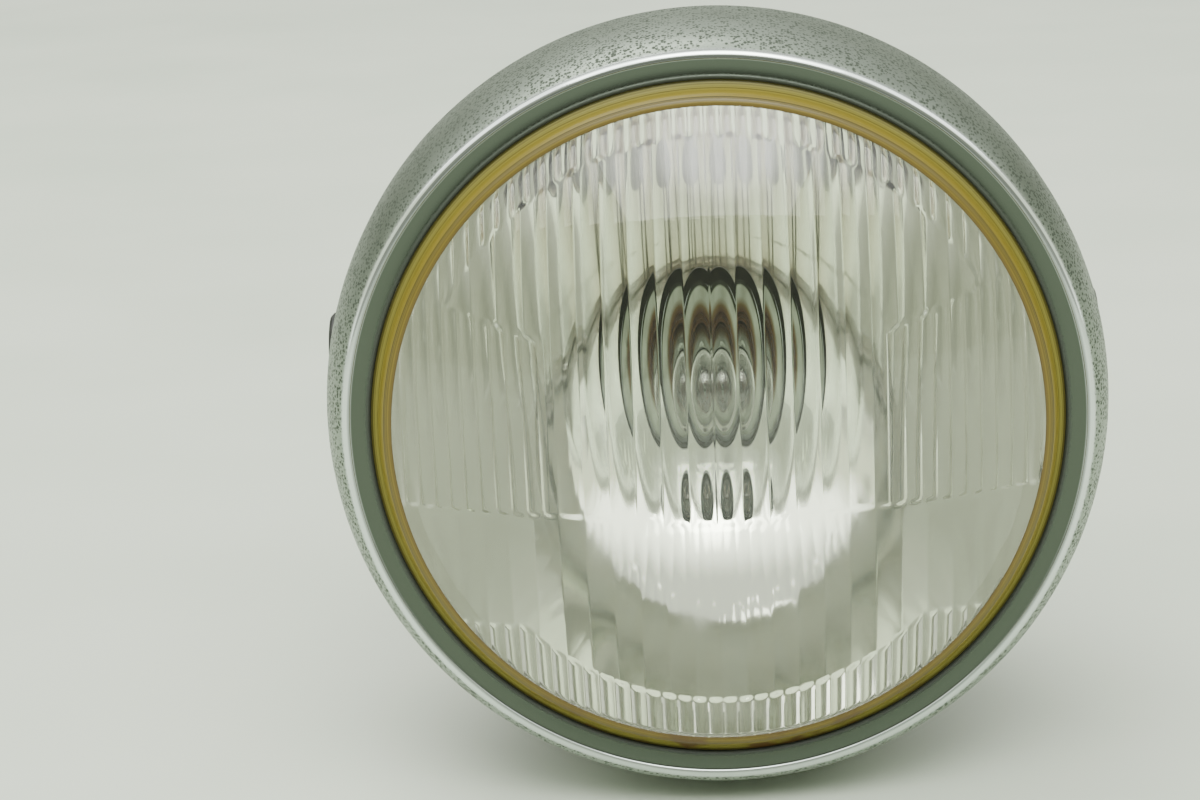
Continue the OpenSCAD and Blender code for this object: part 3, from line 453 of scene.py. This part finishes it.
# %% [markdown]
# The lens is pressed glass: a plunger leaves the flutes inside, and the outside is smooth. Each
# flute is a hollow groove, and neighbours meet in upright ridges that point at the mirror. The
# field has zones. The middle has wide flutes, the sides and both margins have narrow ones, and
# below the middle the flutes are so shallow that the glass is nearly plain.
# The inner face is a field of upright columns of points, so every ridge runs along a column and
# stays crisp. The wall, the flange and the outer ball continue from the same rim of points, and
# the glass is one closed body, which bending light needs.

# %% Flute field
LENS_BALL_R, LENS_THICK, LENS_PROUD = 148.0, 4.4, 4.0
WALL_R, CORNER_R, LENS_IN_R, WALL_FOOT_R, LENS_FLANGE_R = 78.9, 76.5, 76.6, 78.3, 84.8
FLANGE_FRONT, FLANGE_BACK = RIM_FRONT - 3.4, RIM_FRONT - 6.4
LENS_BALL_AHEAD = RIM_FRONT + LENS_PROUD - math.sqrt(LENS_BALL_R ** 2 - CORNER_R ** 2)
INNER_BALL_R = LENS_BALL_R - LENS_THICK
CELL = 0.3
WIDE_PITCH, NARROW_PITCH = 20 * CELL, 12 * CELL
WIDE_CURVE, NARROW_CURVE, PLAIN_CURVE = 12.5, 4.2, 60.0
RIDGE_SHIFT = -3 * CELL


def groove(x, pitch, curve):
    """How far a flute's floor lies ahead of its ridges at a place across the lens."""
    across = (x - RIDGE_SHIFT) % pitch - pitch / 2
    return ((pitch / 2) ** 2 - across ** 2) / (2 * curve)


def smooth_step(value, low, high):
    """Runs from 0 at low to 1 at high, level at both ends."""
    t = min(1.0, max(0.0, (value - low) / (high - low)))
    return t * t * (3 - 2 * t)


TOP_ARC, BOTTOM_ARC, WING_IN, WING_LOW = 68.8, 64.4, 38.4, -15.6
WING_TOP, WING_SLOPE = 24.6, 0.32
BOTTOM_SIDE, BOTTOM_IN = -47.5, 44
DIP, DIP_HALF_WIDTH = 1.8, 16


def flutes(x, z):
    """Depth of the inner face's flutes at a place on the lens."""
    r = math.hypot(x, z)
    side = abs(x)
    slant = WING_TOP + (side - WING_IN) * WING_SLOPE
    # each share runs from 0 to 1 across a short rounded end
    top = smooth_step(r, TOP_ARC - 0.7, TOP_ARC + 0.7) * smooth_step(z, slant - 1, slant + 1)
    wing = (smooth_step(side, WING_IN - 0.3, WING_IN + 0.3) * smooth_step(slant - z, -1, 1)
            * smooth_step(z, WING_LOW - 0.8, WING_LOW + 0.8))
    arc_low = smooth_step(r, BOTTOM_ARC - 0.5, BOTTOM_ARC + 0.5) * smooth_step(-z, BOTTOM_IN, BOTTOM_IN + 2)
    side_low = (smooth_step(-z, -BOTTOM_SIDE - 0.6, -BOTTOM_SIDE + 0.6)
                * smooth_step(side, BOTTOM_IN, BOTTOM_IN + 1))
    bottom = max(arc_low, side_low)
    narrow = min(1.0, max(top, wing, bottom))
    dip = DIP * smooth_step(DIP_HALF_WIDTH - side, 0.0, 4.0)
    lower = smooth_step(WING_LOW - dip - z, -0.8, 0.8) * (1 - bottom)
    middle = max(0.0, 1 - narrow - lower)
    edge = smooth_step(LENS_IN_R - r, 0.0, 0.6)
    return edge * (narrow * groove(x, NARROW_PITCH, NARROW_CURVE)
                   + middle * groove(x, WIDE_PITCH, WIDE_CURVE)
                   + lower * groove(x, WIDE_PITCH, PLAIN_CURVE))


print("wide flutes", WIDE_PITCH, "mm, narrow flutes", round(NARROW_PITCH, 2), "mm")

# %% Inner face of the glass
# pressed soda glass is clear and faintly green, and it bends light by its index of 1.51
lens_glass, tree, shader = new_finish("lens_pressed_glass", "#f9fcf3", 0.0, 0.0,
                                      Transmission_Weight=1.0, IOR=1.51)

last_cell = int((LENS_IN_R - 3.5) / CELL)
straight = [k * CELL for k in range(-last_cell, last_cell + 1)]
turn_in = math.acos(last_cell * CELL / LENS_IN_R)
bend = [LENS_IN_R * math.cos(turn_in * (1 - i / 16)) for i in range(1, 16)]
columns = [-x for x in reversed(bend)] + straight + bend
ROWS = 300
RIDGE_BACK = 0.2

points, faces = [], []
for x in columns:
    half = math.sqrt(LENS_IN_R ** 2 - x * x)
    for j in range(ROWS + 1):
        z = -half + 2 * half * j / ROWS
        ball = LENS_BALL_AHEAD + math.sqrt(INNER_BALL_R ** 2 - x * x - z * z)
        points.append(at(x, z, ball + flutes(x, z) - RIDGE_BACK))
count = ROWS + 1
for i in range(len(columns) - 1):
    for j in range(ROWS):
        a = i * count + j
        faces.append((a, a + count, a + count + 1, a + 1))
print("points on the inner face:", len(points))

# %% Wall, flange and outer ball
CORNER_DEPTH, CORNER_IN, DOME_RINGS = 3.4, 0.2, 40
# the field's border: along the top ends, down the last column, back along the bottom and up again
edge = [i * count + ROWS for i in range(len(columns))]
edge += [(len(columns) - 1) * count + j for j in range(ROWS - 1, 0, -1)]
edge += [i * count for i in range(len(columns) - 1, -1, -1)]
edge += list(range(1, ROWS))
angles = [math.atan2(points[i].z, points[i].x) for i in edge]
dome_radii = [CORNER_R * i / DOME_RINGS for i in range(DOME_RINGS, 0, -1)]
dome = [(r, LENS_BALL_AHEAD + math.sqrt(LENS_BALL_R ** 2 - r ** 2)) for r in dome_radii]
corner_mid = (CORNER_R - CORNER_IN, RIM_FRONT + LENS_PROUD - CORNER_DEPTH)
corner_radii = (WALL_R - CORNER_R + CORNER_IN, CORNER_DEPTH)
corner = arc(corner_mid, corner_radii, 0, 75, 8)
shell = [(WALL_FOOT_R, FLANGE_BACK), (LENS_FLANGE_R, FLANGE_BACK), (LENS_FLANGE_R, FLANGE_FRONT),
         (WALL_R, FLANGE_FRONT)] + corner + dome
previous = edge
for r, s in shell:
    start = len(points)
    points += [at(r * math.cos(a), r * math.sin(a), s) for a in angles]
    row = list(range(start, start + len(edge)))
    for i in range(len(edge)):
        n = (i + 1) % len(edge)
        faces.append((previous[i], row[i], row[n], previous[n]))
    previous = row
tip = len(points)
points.append(at(0, 0, LENS_BALL_AHEAD + LENS_BALL_R))
for i in range(len(edge)):
    faces.append((previous[i], tip, previous[(i + 1) % len(edge)]))
lens = new_piece("lens_fluted", points, faces, lens_glass, 38)
shape = bmesh.new()
shape.from_mesh(lens.data)
bmesh.ops.recalc_face_normals(shape, faces=shape.faces)
open_edges = sum(1 for e in shape.edges if len(e.link_faces) != 2)
shape.to_mesh(lens.data)
shape.free()
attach(lens, "rim_unit")
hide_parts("lens")
print("lens faces:", len(lens.data.polygons), "open edges:", open_edges)

# %% [markdown]
# The groove between lip and glass is filled with sealant that was clear once. It has aged to a
# tarnished yellow, like old varnish, with fine lines that run round in it and brown stains at the
# bottom, where water stood. Behind the glass it is painted a pale cream: painted light that stands
# in for window light shining through the sealant. The mirror shows that part, so a dark one would put dark
# shapes at the lens's edge. So there are
# two finishes and three pieces: the yellow bead, and a pale skin and a pale bed on the glass.

# %% Aged sealant
LINE_MM, STAIN_MM = 0.35, 7
sealant, tree, shader = new_finish("seal_aged_silicone", "#8f8234", 0.0, 0.42, Coat_Weight=0.15,
                                   Coat_Roughness=0.12, Specular_IOR_Level=0.35)
radius, ahead, point = lamp_place(tree)
layers = put(tree, "ShaderNodeCombineXYZ", {"X": radius, "Y": ahead}).outputs[0]
lines = put(tree, "ShaderNodeTexNoise",
            {"Vector": layers, "Scale": 1 / LINE_MM, "Detail": 2.0}).outputs["Fac"]
stains = put(tree, "ShaderNodeTexNoise",
             {"Vector": point, "Scale": 1 / STAIN_MM, "Detail": 4.0}).outputs["Fac"]
across = put(tree, "ShaderNodeMapRange", {"Value": radius, 1: 76.0, 2: OPENING_R}).outputs[0]
band_tone = put(tree, "ShaderNodeValToRGB", {"Fac": across},
                stops=[(0.0, "#5c4a1c"), (0.12, "#6e5d1e"), (0.5, "#857627"), (0.75, "#837c37"),
                       (1.0, "#625c2b")]).outputs[0]
line_tone = put(tree, "ShaderNodeValToRGB", {"Fac": lines},
                stops=[(0.3, "#7c7c7c"), (0.48, "#d0d0d0"), (0.6, "#ffffff"), (0.75, "#b0b0b0")]).outputs[0]
tone = put(tree, "ShaderNodeMix", {"Factor": 1.0, 6: band_tone, 7: line_tone}, data_type="RGBA",
           blend_type="MULTIPLY").outputs[2]
height = put(tree, "ShaderNodeSeparateXYZ", {"Vector": point}).outputs["Z"]
low = put(tree, "ShaderNodeMapRange", {"Value": height, 1: -60.0, 2: -80.0}).outputs[0]
damp = put(tree, "ShaderNodeMapRange", {"Value": stains, 1: 0.5, 2: 0.62}).outputs[0]
brown = put(tree, "ShaderNodeMath", {0: low, 1: damp}, operation="MULTIPLY").outputs[0]
aged = put(tree, "ShaderNodeMix", {"Factor": brown, 6: tone, 7: linear("#4f3a1d")},
           data_type="RGBA").outputs[2]
tree.links.new(aged, shader.inputs["Base Color"])
ripple = put(tree, "ShaderNodeBump", {"Height": lines, "Strength": 0.4, "Distance": 0.06 * MM})
tree.links.new(ripple.outputs["Normal"], shader.inputs["Normal"])
print("sealant lines lie", LINE_MM, "mm apart")

# %% Bead in the groove
GAP = 0.05
BEAD_FRONT = RIM_FRONT - 1
# the bead lies on the glass itself, and thins to a feather where it climbs the glass's corner
FILM, FILM_END_R = 0.22, 76.0
film_end = LENS_BALL_AHEAD + math.sqrt(LENS_BALL_R ** 2 - FILM_END_R ** 2)
bead = [(OPENING_R - GAP, FLANGE_FRONT + GAP), (OPENING_R - GAP, BEAD_FRONT),
        (OPENING_R - 0.6, BEAD_FRONT + 0.3), (WALL_R + 0.9, BEAD_FRONT + 1.1)]
bead += arc(corner_mid, [r + FILM for r in corner_radii], 14, 78, 10)
bead += [(FILM_END_R + 0.15, film_end + 0.04), (FILM_END_R, film_end)]
bead += arc(corner_mid, corner_radii, 75, 0, 8)
bead += [(WALL_R, FLANGE_FRONT + GAP)]
seal = turned("seal_bead", bead, sealant, 256)
print("bead points:", len(bead))

# %% Pale skin and bed, painted pale as glow
# both reach a hair into the glass, so no air shows between
STICK = 0.12
TRAY_AHEAD = FLANGE_BACK - 0.3
BOND_CLOUD_MM = 9
# painted light: the pale cream stands in for window light that shines through the sealant, which the mirror
# shows
painted_glow_bond, tree, shader = new_finish("seal_bond_painted_glow_silicone", "#f6f2e2", 0.0, 0.35)
own = put(tree, "ShaderNodeTexCoord").outputs["Object"]
cloud = put(tree, "ShaderNodeTexNoise",
            {"Vector": own, "Scale": per_mm(BOND_CLOUD_MM), "Detail": 4.0}).outputs["Fac"]
bond_tone = put(tree, "ShaderNodeValToRGB", {"Fac": cloud}, stops=[(0.3, "#f6f3e4"), (0.65, "#fdfcf6")])
tree.links.new(bond_tone.outputs["Color"], shader.inputs["Base Color"])
skin = arc(corner_mid, corner_radii, 0, 75, 8) + [(FILM_END_R + 0.1, film_end)]
skin = [(WALL_R, FLANGE_FRONT + GAP)] + skin
skin += [(FILM_END_R, film_end - STICK)] + arc(corner_mid, [r - STICK for r in corner_radii], 75, 0, 8)
skin += [(WALL_R - STICK, FLANGE_FRONT + GAP)]
grip = turned("seal_grip", skin, painted_glow_bond, 256)
bed = turned("seal_bed", [(WALL_FOOT_R - 0.3, TRAY_AHEAD + GAP), (LENS_FLANGE_R, TRAY_AHEAD + GAP),
                          (LENS_FLANGE_R, FLANGE_BACK + STICK), (WALL_FOOT_R - 0.1, FLANGE_BACK + STICK),
                          (WALL_FOOT_R - 0.45, FLANGE_BACK + 0.6)], painted_glow_bond, 256)
for piece in (seal, grip, bed):
    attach(piece, "rim_unit")
    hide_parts("lens_seal")
print("sealant pieces:", seal.name, grip.name, bed.name)

# %% [markdown]
# The mirror is a deep paraboloid of steel, lacquered and then coated with aluminium in a vacuum.
# The coat is very smooth, with a faint haze. A mirror shows every facet, so its normals are set
# from the formula of the curve and not from its faces.

# %% Mirror coat
FOCAL, MIRROR_T, MIRROR_R, NECK_R, PILOT_DROP, PILOT_R = 27.0, 1.0, 78.9, 21.6, 33.5, 6.5
TRAY_R, TRAY_WALL, NECK_WALL, SPIGOT_WALL = 86.5, 1.1, 0.8, 0.8
HAZE_MM = 22
VERTEX = TRAY_AHEAD - MIRROR_R ** 2 / (4 * FOCAL)

mirror_coat, tree, shader = new_finish("mirror_vacuum_aluminium", "#f8f8f4", 1.0, 0.035)
radius, ahead, point = lamp_place(tree)
haze = put(tree, "ShaderNodeTexNoise",
           {"Vector": point, "Scale": 1 / HAZE_MM, "Detail": 5.0}).outputs["Fac"]
breath = put(tree, "ShaderNodeMapRange", {"Value": haze, 1: 0.4, 2: 0.75, 3: 0.03, 4: 0.11}).outputs[0]
# painted shadow: the coat is darkened round the bulb's hole, most above it
height = put(tree, "ShaderNodeSeparateXYZ", {"Vector": point}).outputs["Z"]
hole_shadow_reach = put(tree, "ShaderNodeMapRange", {"Value": height, 1: -16.0, 2: 18.0, 3: NECK_R + 0.6,
                                                4: NECK_R + 4.0}).outputs[0]
hole_shadow_gap = put(tree, "ShaderNodeMath", {0: hole_shadow_reach, 1: radius}, operation="SUBTRACT").outputs[0]
hole_painted_shadow = put(tree, "ShaderNodeMapRange", {"Value": hole_shadow_gap, 1: -0.15, 2: 0.35}).outputs[0]
coat = put(tree, "ShaderNodeMix", {"Factor": hole_painted_shadow, 6: linear("#f8f8f4"), 7: linear("#1d1f18")},
           data_type="RGBA")
tree.links.new(coat.outputs[2], shader.inputs["Base Color"])
dulled = put(tree, "ShaderNodeMath", {0: hole_painted_shadow, 1: 0.4, 2: breath}, operation="MULTIPLY_ADD").outputs[0]
tree.links.new(dulled, shader.inputs["Roughness"])
print("the coat is darkened out to", NECK_R + 4.0, "mm above the bulb's hole")


# %% Mirror bowl
def mirror_at(r):
    """How far ahead the reflecting face lies at a radius."""
    return VERTEX + r * r / (4 * FOCAL)


COLLAR_BACK = mirror_at(0) - 1.0
rings = [NECK_R + (MIRROR_R - NECK_R) * i / 60 for i in range(61)]
face_side = [(r, mirror_at(r)) for r in rings]
back_side = [(r, mirror_at(r) - MIRROR_T) for r in reversed(rings[1:])]
tray = [(TRAY_R - TRAY_WALL, TRAY_AHEAD), (TRAY_R - TRAY_WALL, FLANGE_FRONT), (TRAY_R, FLANGE_FRONT),
        (TRAY_R, TRAY_AHEAD - MIRROR_T)]
neck = [(NECK_R + NECK_WALL, mirror_at(NECK_R) - MIRROR_T), (NECK_R + NECK_WALL, COLLAR_BACK + 1),
        (NECK_R, COLLAR_BACK + 1)]
mirror = turned("mirror_bowl", face_side + tray + back_side + neck, mirror_coat, 256, sharp=30)
drill(mirror, (0, -PILOT_DROP, mirror_at(PILOT_DROP)), (0, 0, 1), PILOT_R, 20)
print("mirror faces:", len(mirror.data.polygons))


# %% True normals on the mirror
def true_normals(piece):
    """Sets the normals of the reflecting face from the curve's own slope."""
    mesh = piece.data
    normals = [tuple(n.vector) for n in mesh.corner_normals]
    fixed = 0
    for face in mesh.polygons:
        for loop in face.loop_indices:
            p = mesh.vertices[mesh.loops[loop].vertex_index].co / MM
            r = math.hypot(p.x, p.z)
            if NECK_R - 0.01 <= r <= MIRROR_R + 0.01 and face.normal.y < -0.05 \
                    and abs(-p.y - mirror_at(r)) < 0.02:
                slope = r / (2 * FOCAL)
                normals[loop] = Vector((-slope * p.x / r, -1.0, -slope * p.z / r)).normalized()
                fixed += 1
    mesh.normals_split_custom_set(normals)
    return fixed


print("corners with true normals:", true_normals(mirror))
spigot = turned("mirror_spigot", [(PILOT_R, VERTEX - 2), (PILOT_R + SPIGOT_WALL, VERTEX - 2),
                                  (PILOT_R + SPIGOT_WALL, mirror_at(PILOT_DROP - PILOT_R) - MIRROR_T),
                                  (PILOT_R, mirror_at(PILOT_DROP - PILOT_R) - MIRROR_T)], mirror_coat, 64)
spigot.data.transform(Matrix.Translation((0, 0, -PILOT_DROP * MM)))
for piece in (mirror, spigot):
    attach(piece, "rim_unit")
    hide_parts("reflector")

# %% [markdown]
# The other pieces keep the frame's shapes. They share a way of ageing: two tones that drift over
# a few millimetres, a roughness that drifts with them, and a fine bump from how the surface was
# made. One function makes such a finish, and each call says what the real one is.

# %% Aged finishes
def aged_finish(name, colour, worn, metallic, roughness, worn_rough, drift_mm, grain_mm, bump_mm,
                **sockets):
    """A finish of two drifting tones with a fine bump."""
    material, tree, shader = new_finish(name, colour, metallic, roughness, **sockets)
    own = put(tree, "ShaderNodeTexCoord").outputs["Object"]
    drift = put(tree, "ShaderNodeTexNoise",
                {"Vector": own, "Scale": per_mm(drift_mm), "Detail": 5.0}).outputs["Fac"]
    share = put(tree, "ShaderNodeMapRange", {"Value": drift, 1: 0.38, 2: 0.66}).outputs[0]
    tone = put(tree, "ShaderNodeMix", {"Factor": share, 6: linear(colour), 7: linear(worn)},
               data_type="RGBA")
    rough = put(tree, "ShaderNodeMapRange", {"Value": share, 3: roughness, 4: worn_rough})
    grain = put(tree, "ShaderNodeTexNoise",
                {"Vector": own, "Scale": per_mm(grain_mm), "Detail": 3.0}).outputs["Fac"]
    bump = put(tree, "ShaderNodeBump", {"Height": grain, "Strength": 0.5, "Distance": bump_mm * MM})
    tree.links.new(tone.outputs[2], shader.inputs["Base Color"])
    tree.links.new(rough.outputs[0], shader.inputs["Roughness"])
    tree.links.new(bump.outputs["Normal"], shader.inputs["Normal"])
    return material


# baked enamel is deep black with a soft gloss, brushed paint is flatter, and rubber is dull
stove_enamel = aged_finish("bucket_stove_enamel_black", "#0f1011", "#1b1b1a", 0.0, 0.2, 0.36, 25, 1.6, 0.03,
                           Coat_Weight=0.4, Coat_Roughness=0.12)
bush_paint = aged_finish("bush_painted_steel", "#1b1c1d", "#3b3c3a", 0.2, 0.35, 0.55, 5, 0.8, 0.04)
moulded_rubber = aged_finish("seal_moulded_rubber", "#1f2020", "#34352f", 0.0, 0.62, 0.8, 9, 0.5, 0.05)
# zinc plate dulls to a cloudy grey, and drawn wire stays darker
zinc_plate = aged_finish("fittings_zinc_plate", "#a9aeaf", "#8d918c", 1.0, 0.32, 0.5, 7, 0.6, 0.02)
bright_zinc = aged_finish("screw_bright_zinc_plate", "#c3c6c4", "#a3a49c", 1.0, 0.22, 0.4, 4, 0.4, 0.02)
spring_steel = aged_finish("clip_spring_steel_wire", "#878c8f", "#6d6a63", 1.0, 0.35, 0.55, 5, 0.3, 0.01)
# moulded phenolic is brown or black with the mould's even shine
phenolic = aged_finish("block_moulded_phenolic", "#3a2418", "#4b3020", 0.0, 0.3, 0.5, 8, 0.7, 0.02)
black_phenolic = aged_finish("socket_moulded_phenolic", "#1b1a19", "#2a2826", 0.0, 0.35, 0.55, 8, 0.7, 0.02)
# rolled brass has tarnished in patches, and its nickelled kind looks like dull steel
brass = aged_finish("contacts_rolled_brass", "#b8924a", "#8f6c34", 1.0, 0.28, 0.48, 4, 0.3, 0.01)
nickel_brass = aged_finish("bulb_base_nickelled_brass", "#a4ab9f", "#969c8e", 0.8, 0.34, 0.5, 6, 0.3, 0.01)
print("finishes so far:", len(bpy.data.materials))

# %% Browned bulb base
# basing cement and heat have browned the nickel next to the glass; a painted shadow blackens its outer
# edge, widest at the top
tree = nickel_brass.node_tree
radius, ahead, point = lamp_place(tree)
lift = put(tree, "ShaderNodeSeparateXYZ", {"Vector": point}).outputs["Z"]
edge_place = put(tree, "ShaderNodeMapRange", {"Value": lift, 1: -14.0, 2: 14.0, 4: 2.4}).outputs[0]
shifted = put(tree, "ShaderNodeMath", {0: radius, 1: edge_place}, operation="ADD").outputs[0]
outward = put(tree, "ShaderNodeMapRange", {"Value": radius, 2: 25.0}).outputs[0]
browning = put(tree, "ShaderNodeValToRGB", {"Fac": outward},
               stops=[(0.38, "#5a3415"), (0.49, "#8a5626"), (0.55, "#b08a5a"),
                      (0.63, "#ffffff")]).outputs[0]
base_painted_shadow = put(tree, "ShaderNodeMapRange", {"Value": shifted, 1: 21.0, 2: 21.6}).outputs[0]
shader = tree.nodes["Principled BSDF"]
worn_tone = shader.inputs["Base Color"].links[0].from_socket
browned = put(tree, "ShaderNodeMix", {"Factor": 1.0, 6: worn_tone, 7: browning}, data_type="RGBA",
              blend_type="MULTIPLY")
shadowed_base_tone = put(tree, "ShaderNodeMix", {"Factor": base_painted_shadow, 6: browned.outputs[2], 7: linear("#20221b")},
                data_type="RGBA")
tree.links.new(shadowed_base_tone.outputs[2], shader.inputs["Base Color"])
bare = put(tree, "ShaderNodeMapRange", {"Value": radius, 1: 12.5, 2: 15.5, 4: 0.8}).outputs[0]
tree.links.new(bare, shader.inputs["Metallic"])
print("the base has", len(tree.nodes), "nodes")

# %% Filaments and bulb glass
# drawn tungsten is grey and a little rough after years of heat, and its support wires are nickel
tungsten = aged_finish("filament_drawn_tungsten", "#6f706c", "#54544f", 1.0, 0.45, 0.6, 2, 0.1, 0.005)
support_wire = aged_finish("support_nickel_wire", "#9da09a", "#83857e", 1.0, 0.3, 0.45, 2, 0.1, 0.005)
blown_glass, tree, shader = new_finish("bulb_blown_glass", "#fbfdfa", 0.0, 0.0,
                                       Transmission_Weight=1.0, IOR=1.5)
# metal that left the filament over the years lies as a brown bloom on the glass near the base
ahead = lamp_place(tree)[1]
along = put(tree, "ShaderNodeMapRange", {"Value": ahead, 1: VERTEX, 2: VERTEX + 30}).outputs[0]
bloom = put(tree, "ShaderNodeValToRGB", {"Fac": along},
            stops=[(0.0, "#6f5238"), (0.35, "#9a8266"), (0.75, "#fbfdfa")])
tree.links.new(bloom.outputs["Color"], shader.inputs["Base Color"])
stem_glass = new_finish("bulb_pressed_stem_glass", "#eef4ee", 0.0, 0.02,
                        Transmission_Weight=1.0, IOR=1.52)[0]
print("all finishes:", len(bpy.data.materials))

# %% Finishes on the frame's own solids
FINISHES = {
    bush_paint: ["ear_bush_left", "ear_bush_right"],
    moulded_rubber: ["mouth_gasket", "harness_grommet", "front_gasket"],
    zinc_plate: ["hook_plate", "catch_plate", "clip_ring", "top_hook", "rim_nut", "bulb_collar",
                 "spring_cap", "pilot_holder"],
    bright_zinc: ["rim_screw", "rim_screw_washer", "earth_screw"],
    spring_steel: ["unit_clips", "cap_spring"],
    phenolic: ["terminal_block", "base_insulator"],
    black_phenolic: ["bulb_socket"],
    brass: ["terminal_screws", "earth_tag", "base_contacts", "socket_tails", "pilot_tail"],
    nickel_brass: ["bulb_base", "pilot_base", "dip_shield"],
    tungsten: ["filament_main", "filament_dip", "pilot_filament"],
    support_wire: ["filament_supports"],
    blown_glass: ["bulb_glass", "pilot_glass"],
    stem_glass: ["bulb_stem"],
}
for finish, names in FINISHES.items():
    for name in names:
        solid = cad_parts[name]
        if not solid.material_slots:
            solid.data.materials.append(finish)
        for place in solid.material_slots:
            place.material = finish
print("finished solids:", sum(len(names) for names in FINISHES.values()))

# %% [markdown]
# The bucket is deep drawn from one sheet, so it has no facet and no seam anywhere. It is turned
# here again with a fine profile: a straight mouth, a full bowl and a flat back. Then the holes
# follow, as a press would make them: two for the ears, one for the harness, the screw holes, the
# drain, the slot of the hook and the notch of the rim screw.

# %% Bucket
BUCKET_R, BUCKET_WALL, MOUTH, BOWL_START, BACK, BACK_ROUND = 90.6, 1.2, 62.0, 48.0, -58.5, 4.3
BOWL_LEN = BOWL_START - BACK + BACK_ROUND
# how square the bowl's outline is across and along, and how its steps crowd towards the back
FULL_ACROSS, FULL_ALONG, CROWDING = 2.2, 2.6, 1.3


def bowl(r, length, end, steps=72):
    """The bowl's profile from its straight mouth back to the flat. The steps are even in angle."""
    last = math.asin(((BOWL_START - end) / length) ** CROWDING)
    turns = [last * i / steps for i in range(steps + 1)]
    return [(r * math.cos(a) ** (2 / FULL_ACROSS), BOWL_START - length * math.sin(a) ** (2 / FULL_ALONG))
            for a in turns]


def box_cut(piece, low, high):
    """Cuts a box out of a piece. Both corners are in the lamp's own frame."""
    corners = [at(x, y, s) for x in (low[0], high[0]) for y in (low[1], high[1])
               for s in (low[2], high[2])]
    sides = [(0, 1, 3, 2), (4, 6, 7, 5), (0, 4, 5, 1), (2, 3, 7, 6), (0, 2, 6, 4), (1, 5, 7, 3)]
    cut(piece, corners, sides)


shell_out = bowl(BUCKET_R, BOWL_LEN, BACK)
shell_in = bowl(BUCKET_R - BUCKET_WALL, BOWL_LEN - BUCKET_WALL, BACK + BUCKET_WALL)
profile = [(0.0, BACK + BUCKET_WALL)] + shell_in[::-1] + [(BUCKET_R - BUCKET_WALL, MOUTH)]
profile += [(BUCKET_R, MOUTH)] + shell_out + [(0.0, BACK)]
bucket = turned("bucket_shell", profile, stove_enamel, 256)
shape = bmesh.new()
shape.from_mesh(bucket.data)
bmesh.ops.remove_doubles(shape, verts=shape.verts, dist=1e-7)
bmesh.ops.delete(shape, geom=[e for e in shape.edges if not e.link_faces], context="EDGES")
bmesh.ops.recalc_face_normals(shape, faces=shape.faces)
open_edges = sum(1 for e in shape.edges if len(e.link_faces) != 2)
shape.to_mesh(bucket.data)
shape.free()
print("bucket faces before the holes:", len(bucket.data.polygons), "open edges:", open_edges)

# %% Holes in the bucket
EAR_HOLE_R, INLET_R, INLET_UP, DRAIN_R, DRAIN_AHEAD = 11.05, 11, -14, 2, 30
BLOCK_SCREW_R, BLOCK_RIGHT, BLOCK_UP = 1.6, 16, 14
EARTH_SCREW_R, EARTH_RIGHT, EARTH_UP = 2.05, -20, -10
HOOK_SLOT_HALF, HOOK_SLOT_BACK, HOOK_SLOT_FRONT, NOTCH_HALF = 8, 50.25, 53.75, 7.2
THROUGH_BACK, THROUGH_EAR, THROUGH_DRAIN = 8, 40, 30
REACH_IN, REACH_OUT, NOTCH_BEHIND = 12, 8, 4
for side in (-1, 1):
    drill(bucket, (side * BUCKET_R, 0, 0), (1, 0, 0), EAR_HOLE_R, THROUGH_EAR, 96)
drill(bucket, (0, INLET_UP, BACK), (0, 0, 1), INLET_R, THROUGH_BACK, 96)
for x in (-BLOCK_RIGHT, BLOCK_RIGHT):
    drill(bucket, (x, BLOCK_UP, BACK), (0, 0, 1), BLOCK_SCREW_R, THROUGH_BACK)
drill(bucket, (EARTH_RIGHT, EARTH_UP, BACK), (0, 0, 1), EARTH_SCREW_R, THROUGH_BACK)
drill(bucket, (0, -BUCKET_R, DRAIN_AHEAD), (0, 1, 0), DRAIN_R, THROUGH_DRAIN)
box_cut(bucket, (-HOOK_SLOT_HALF, BUCKET_R - REACH_IN, HOOK_SLOT_BACK),
        (HOOK_SLOT_HALF, BUCKET_R + REACH_OUT, HOOK_SLOT_FRONT))
box_cut(bucket, (-NOTCH_HALF, -BUCKET_R - REACH_OUT, SCREW_AHEAD - NOTCH_BEHIND),
        (NOTCH_HALF, -BUCKET_R + REACH_OUT, MOUTH + 1))
bucket.data.shade_smooth()
bucket.data.set_sharp_from_angle(angle=math.radians(30))
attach(bucket, "bucket_body")
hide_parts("bucket")
print("bucket faces with the holes:", len(bucket.data.polygons))
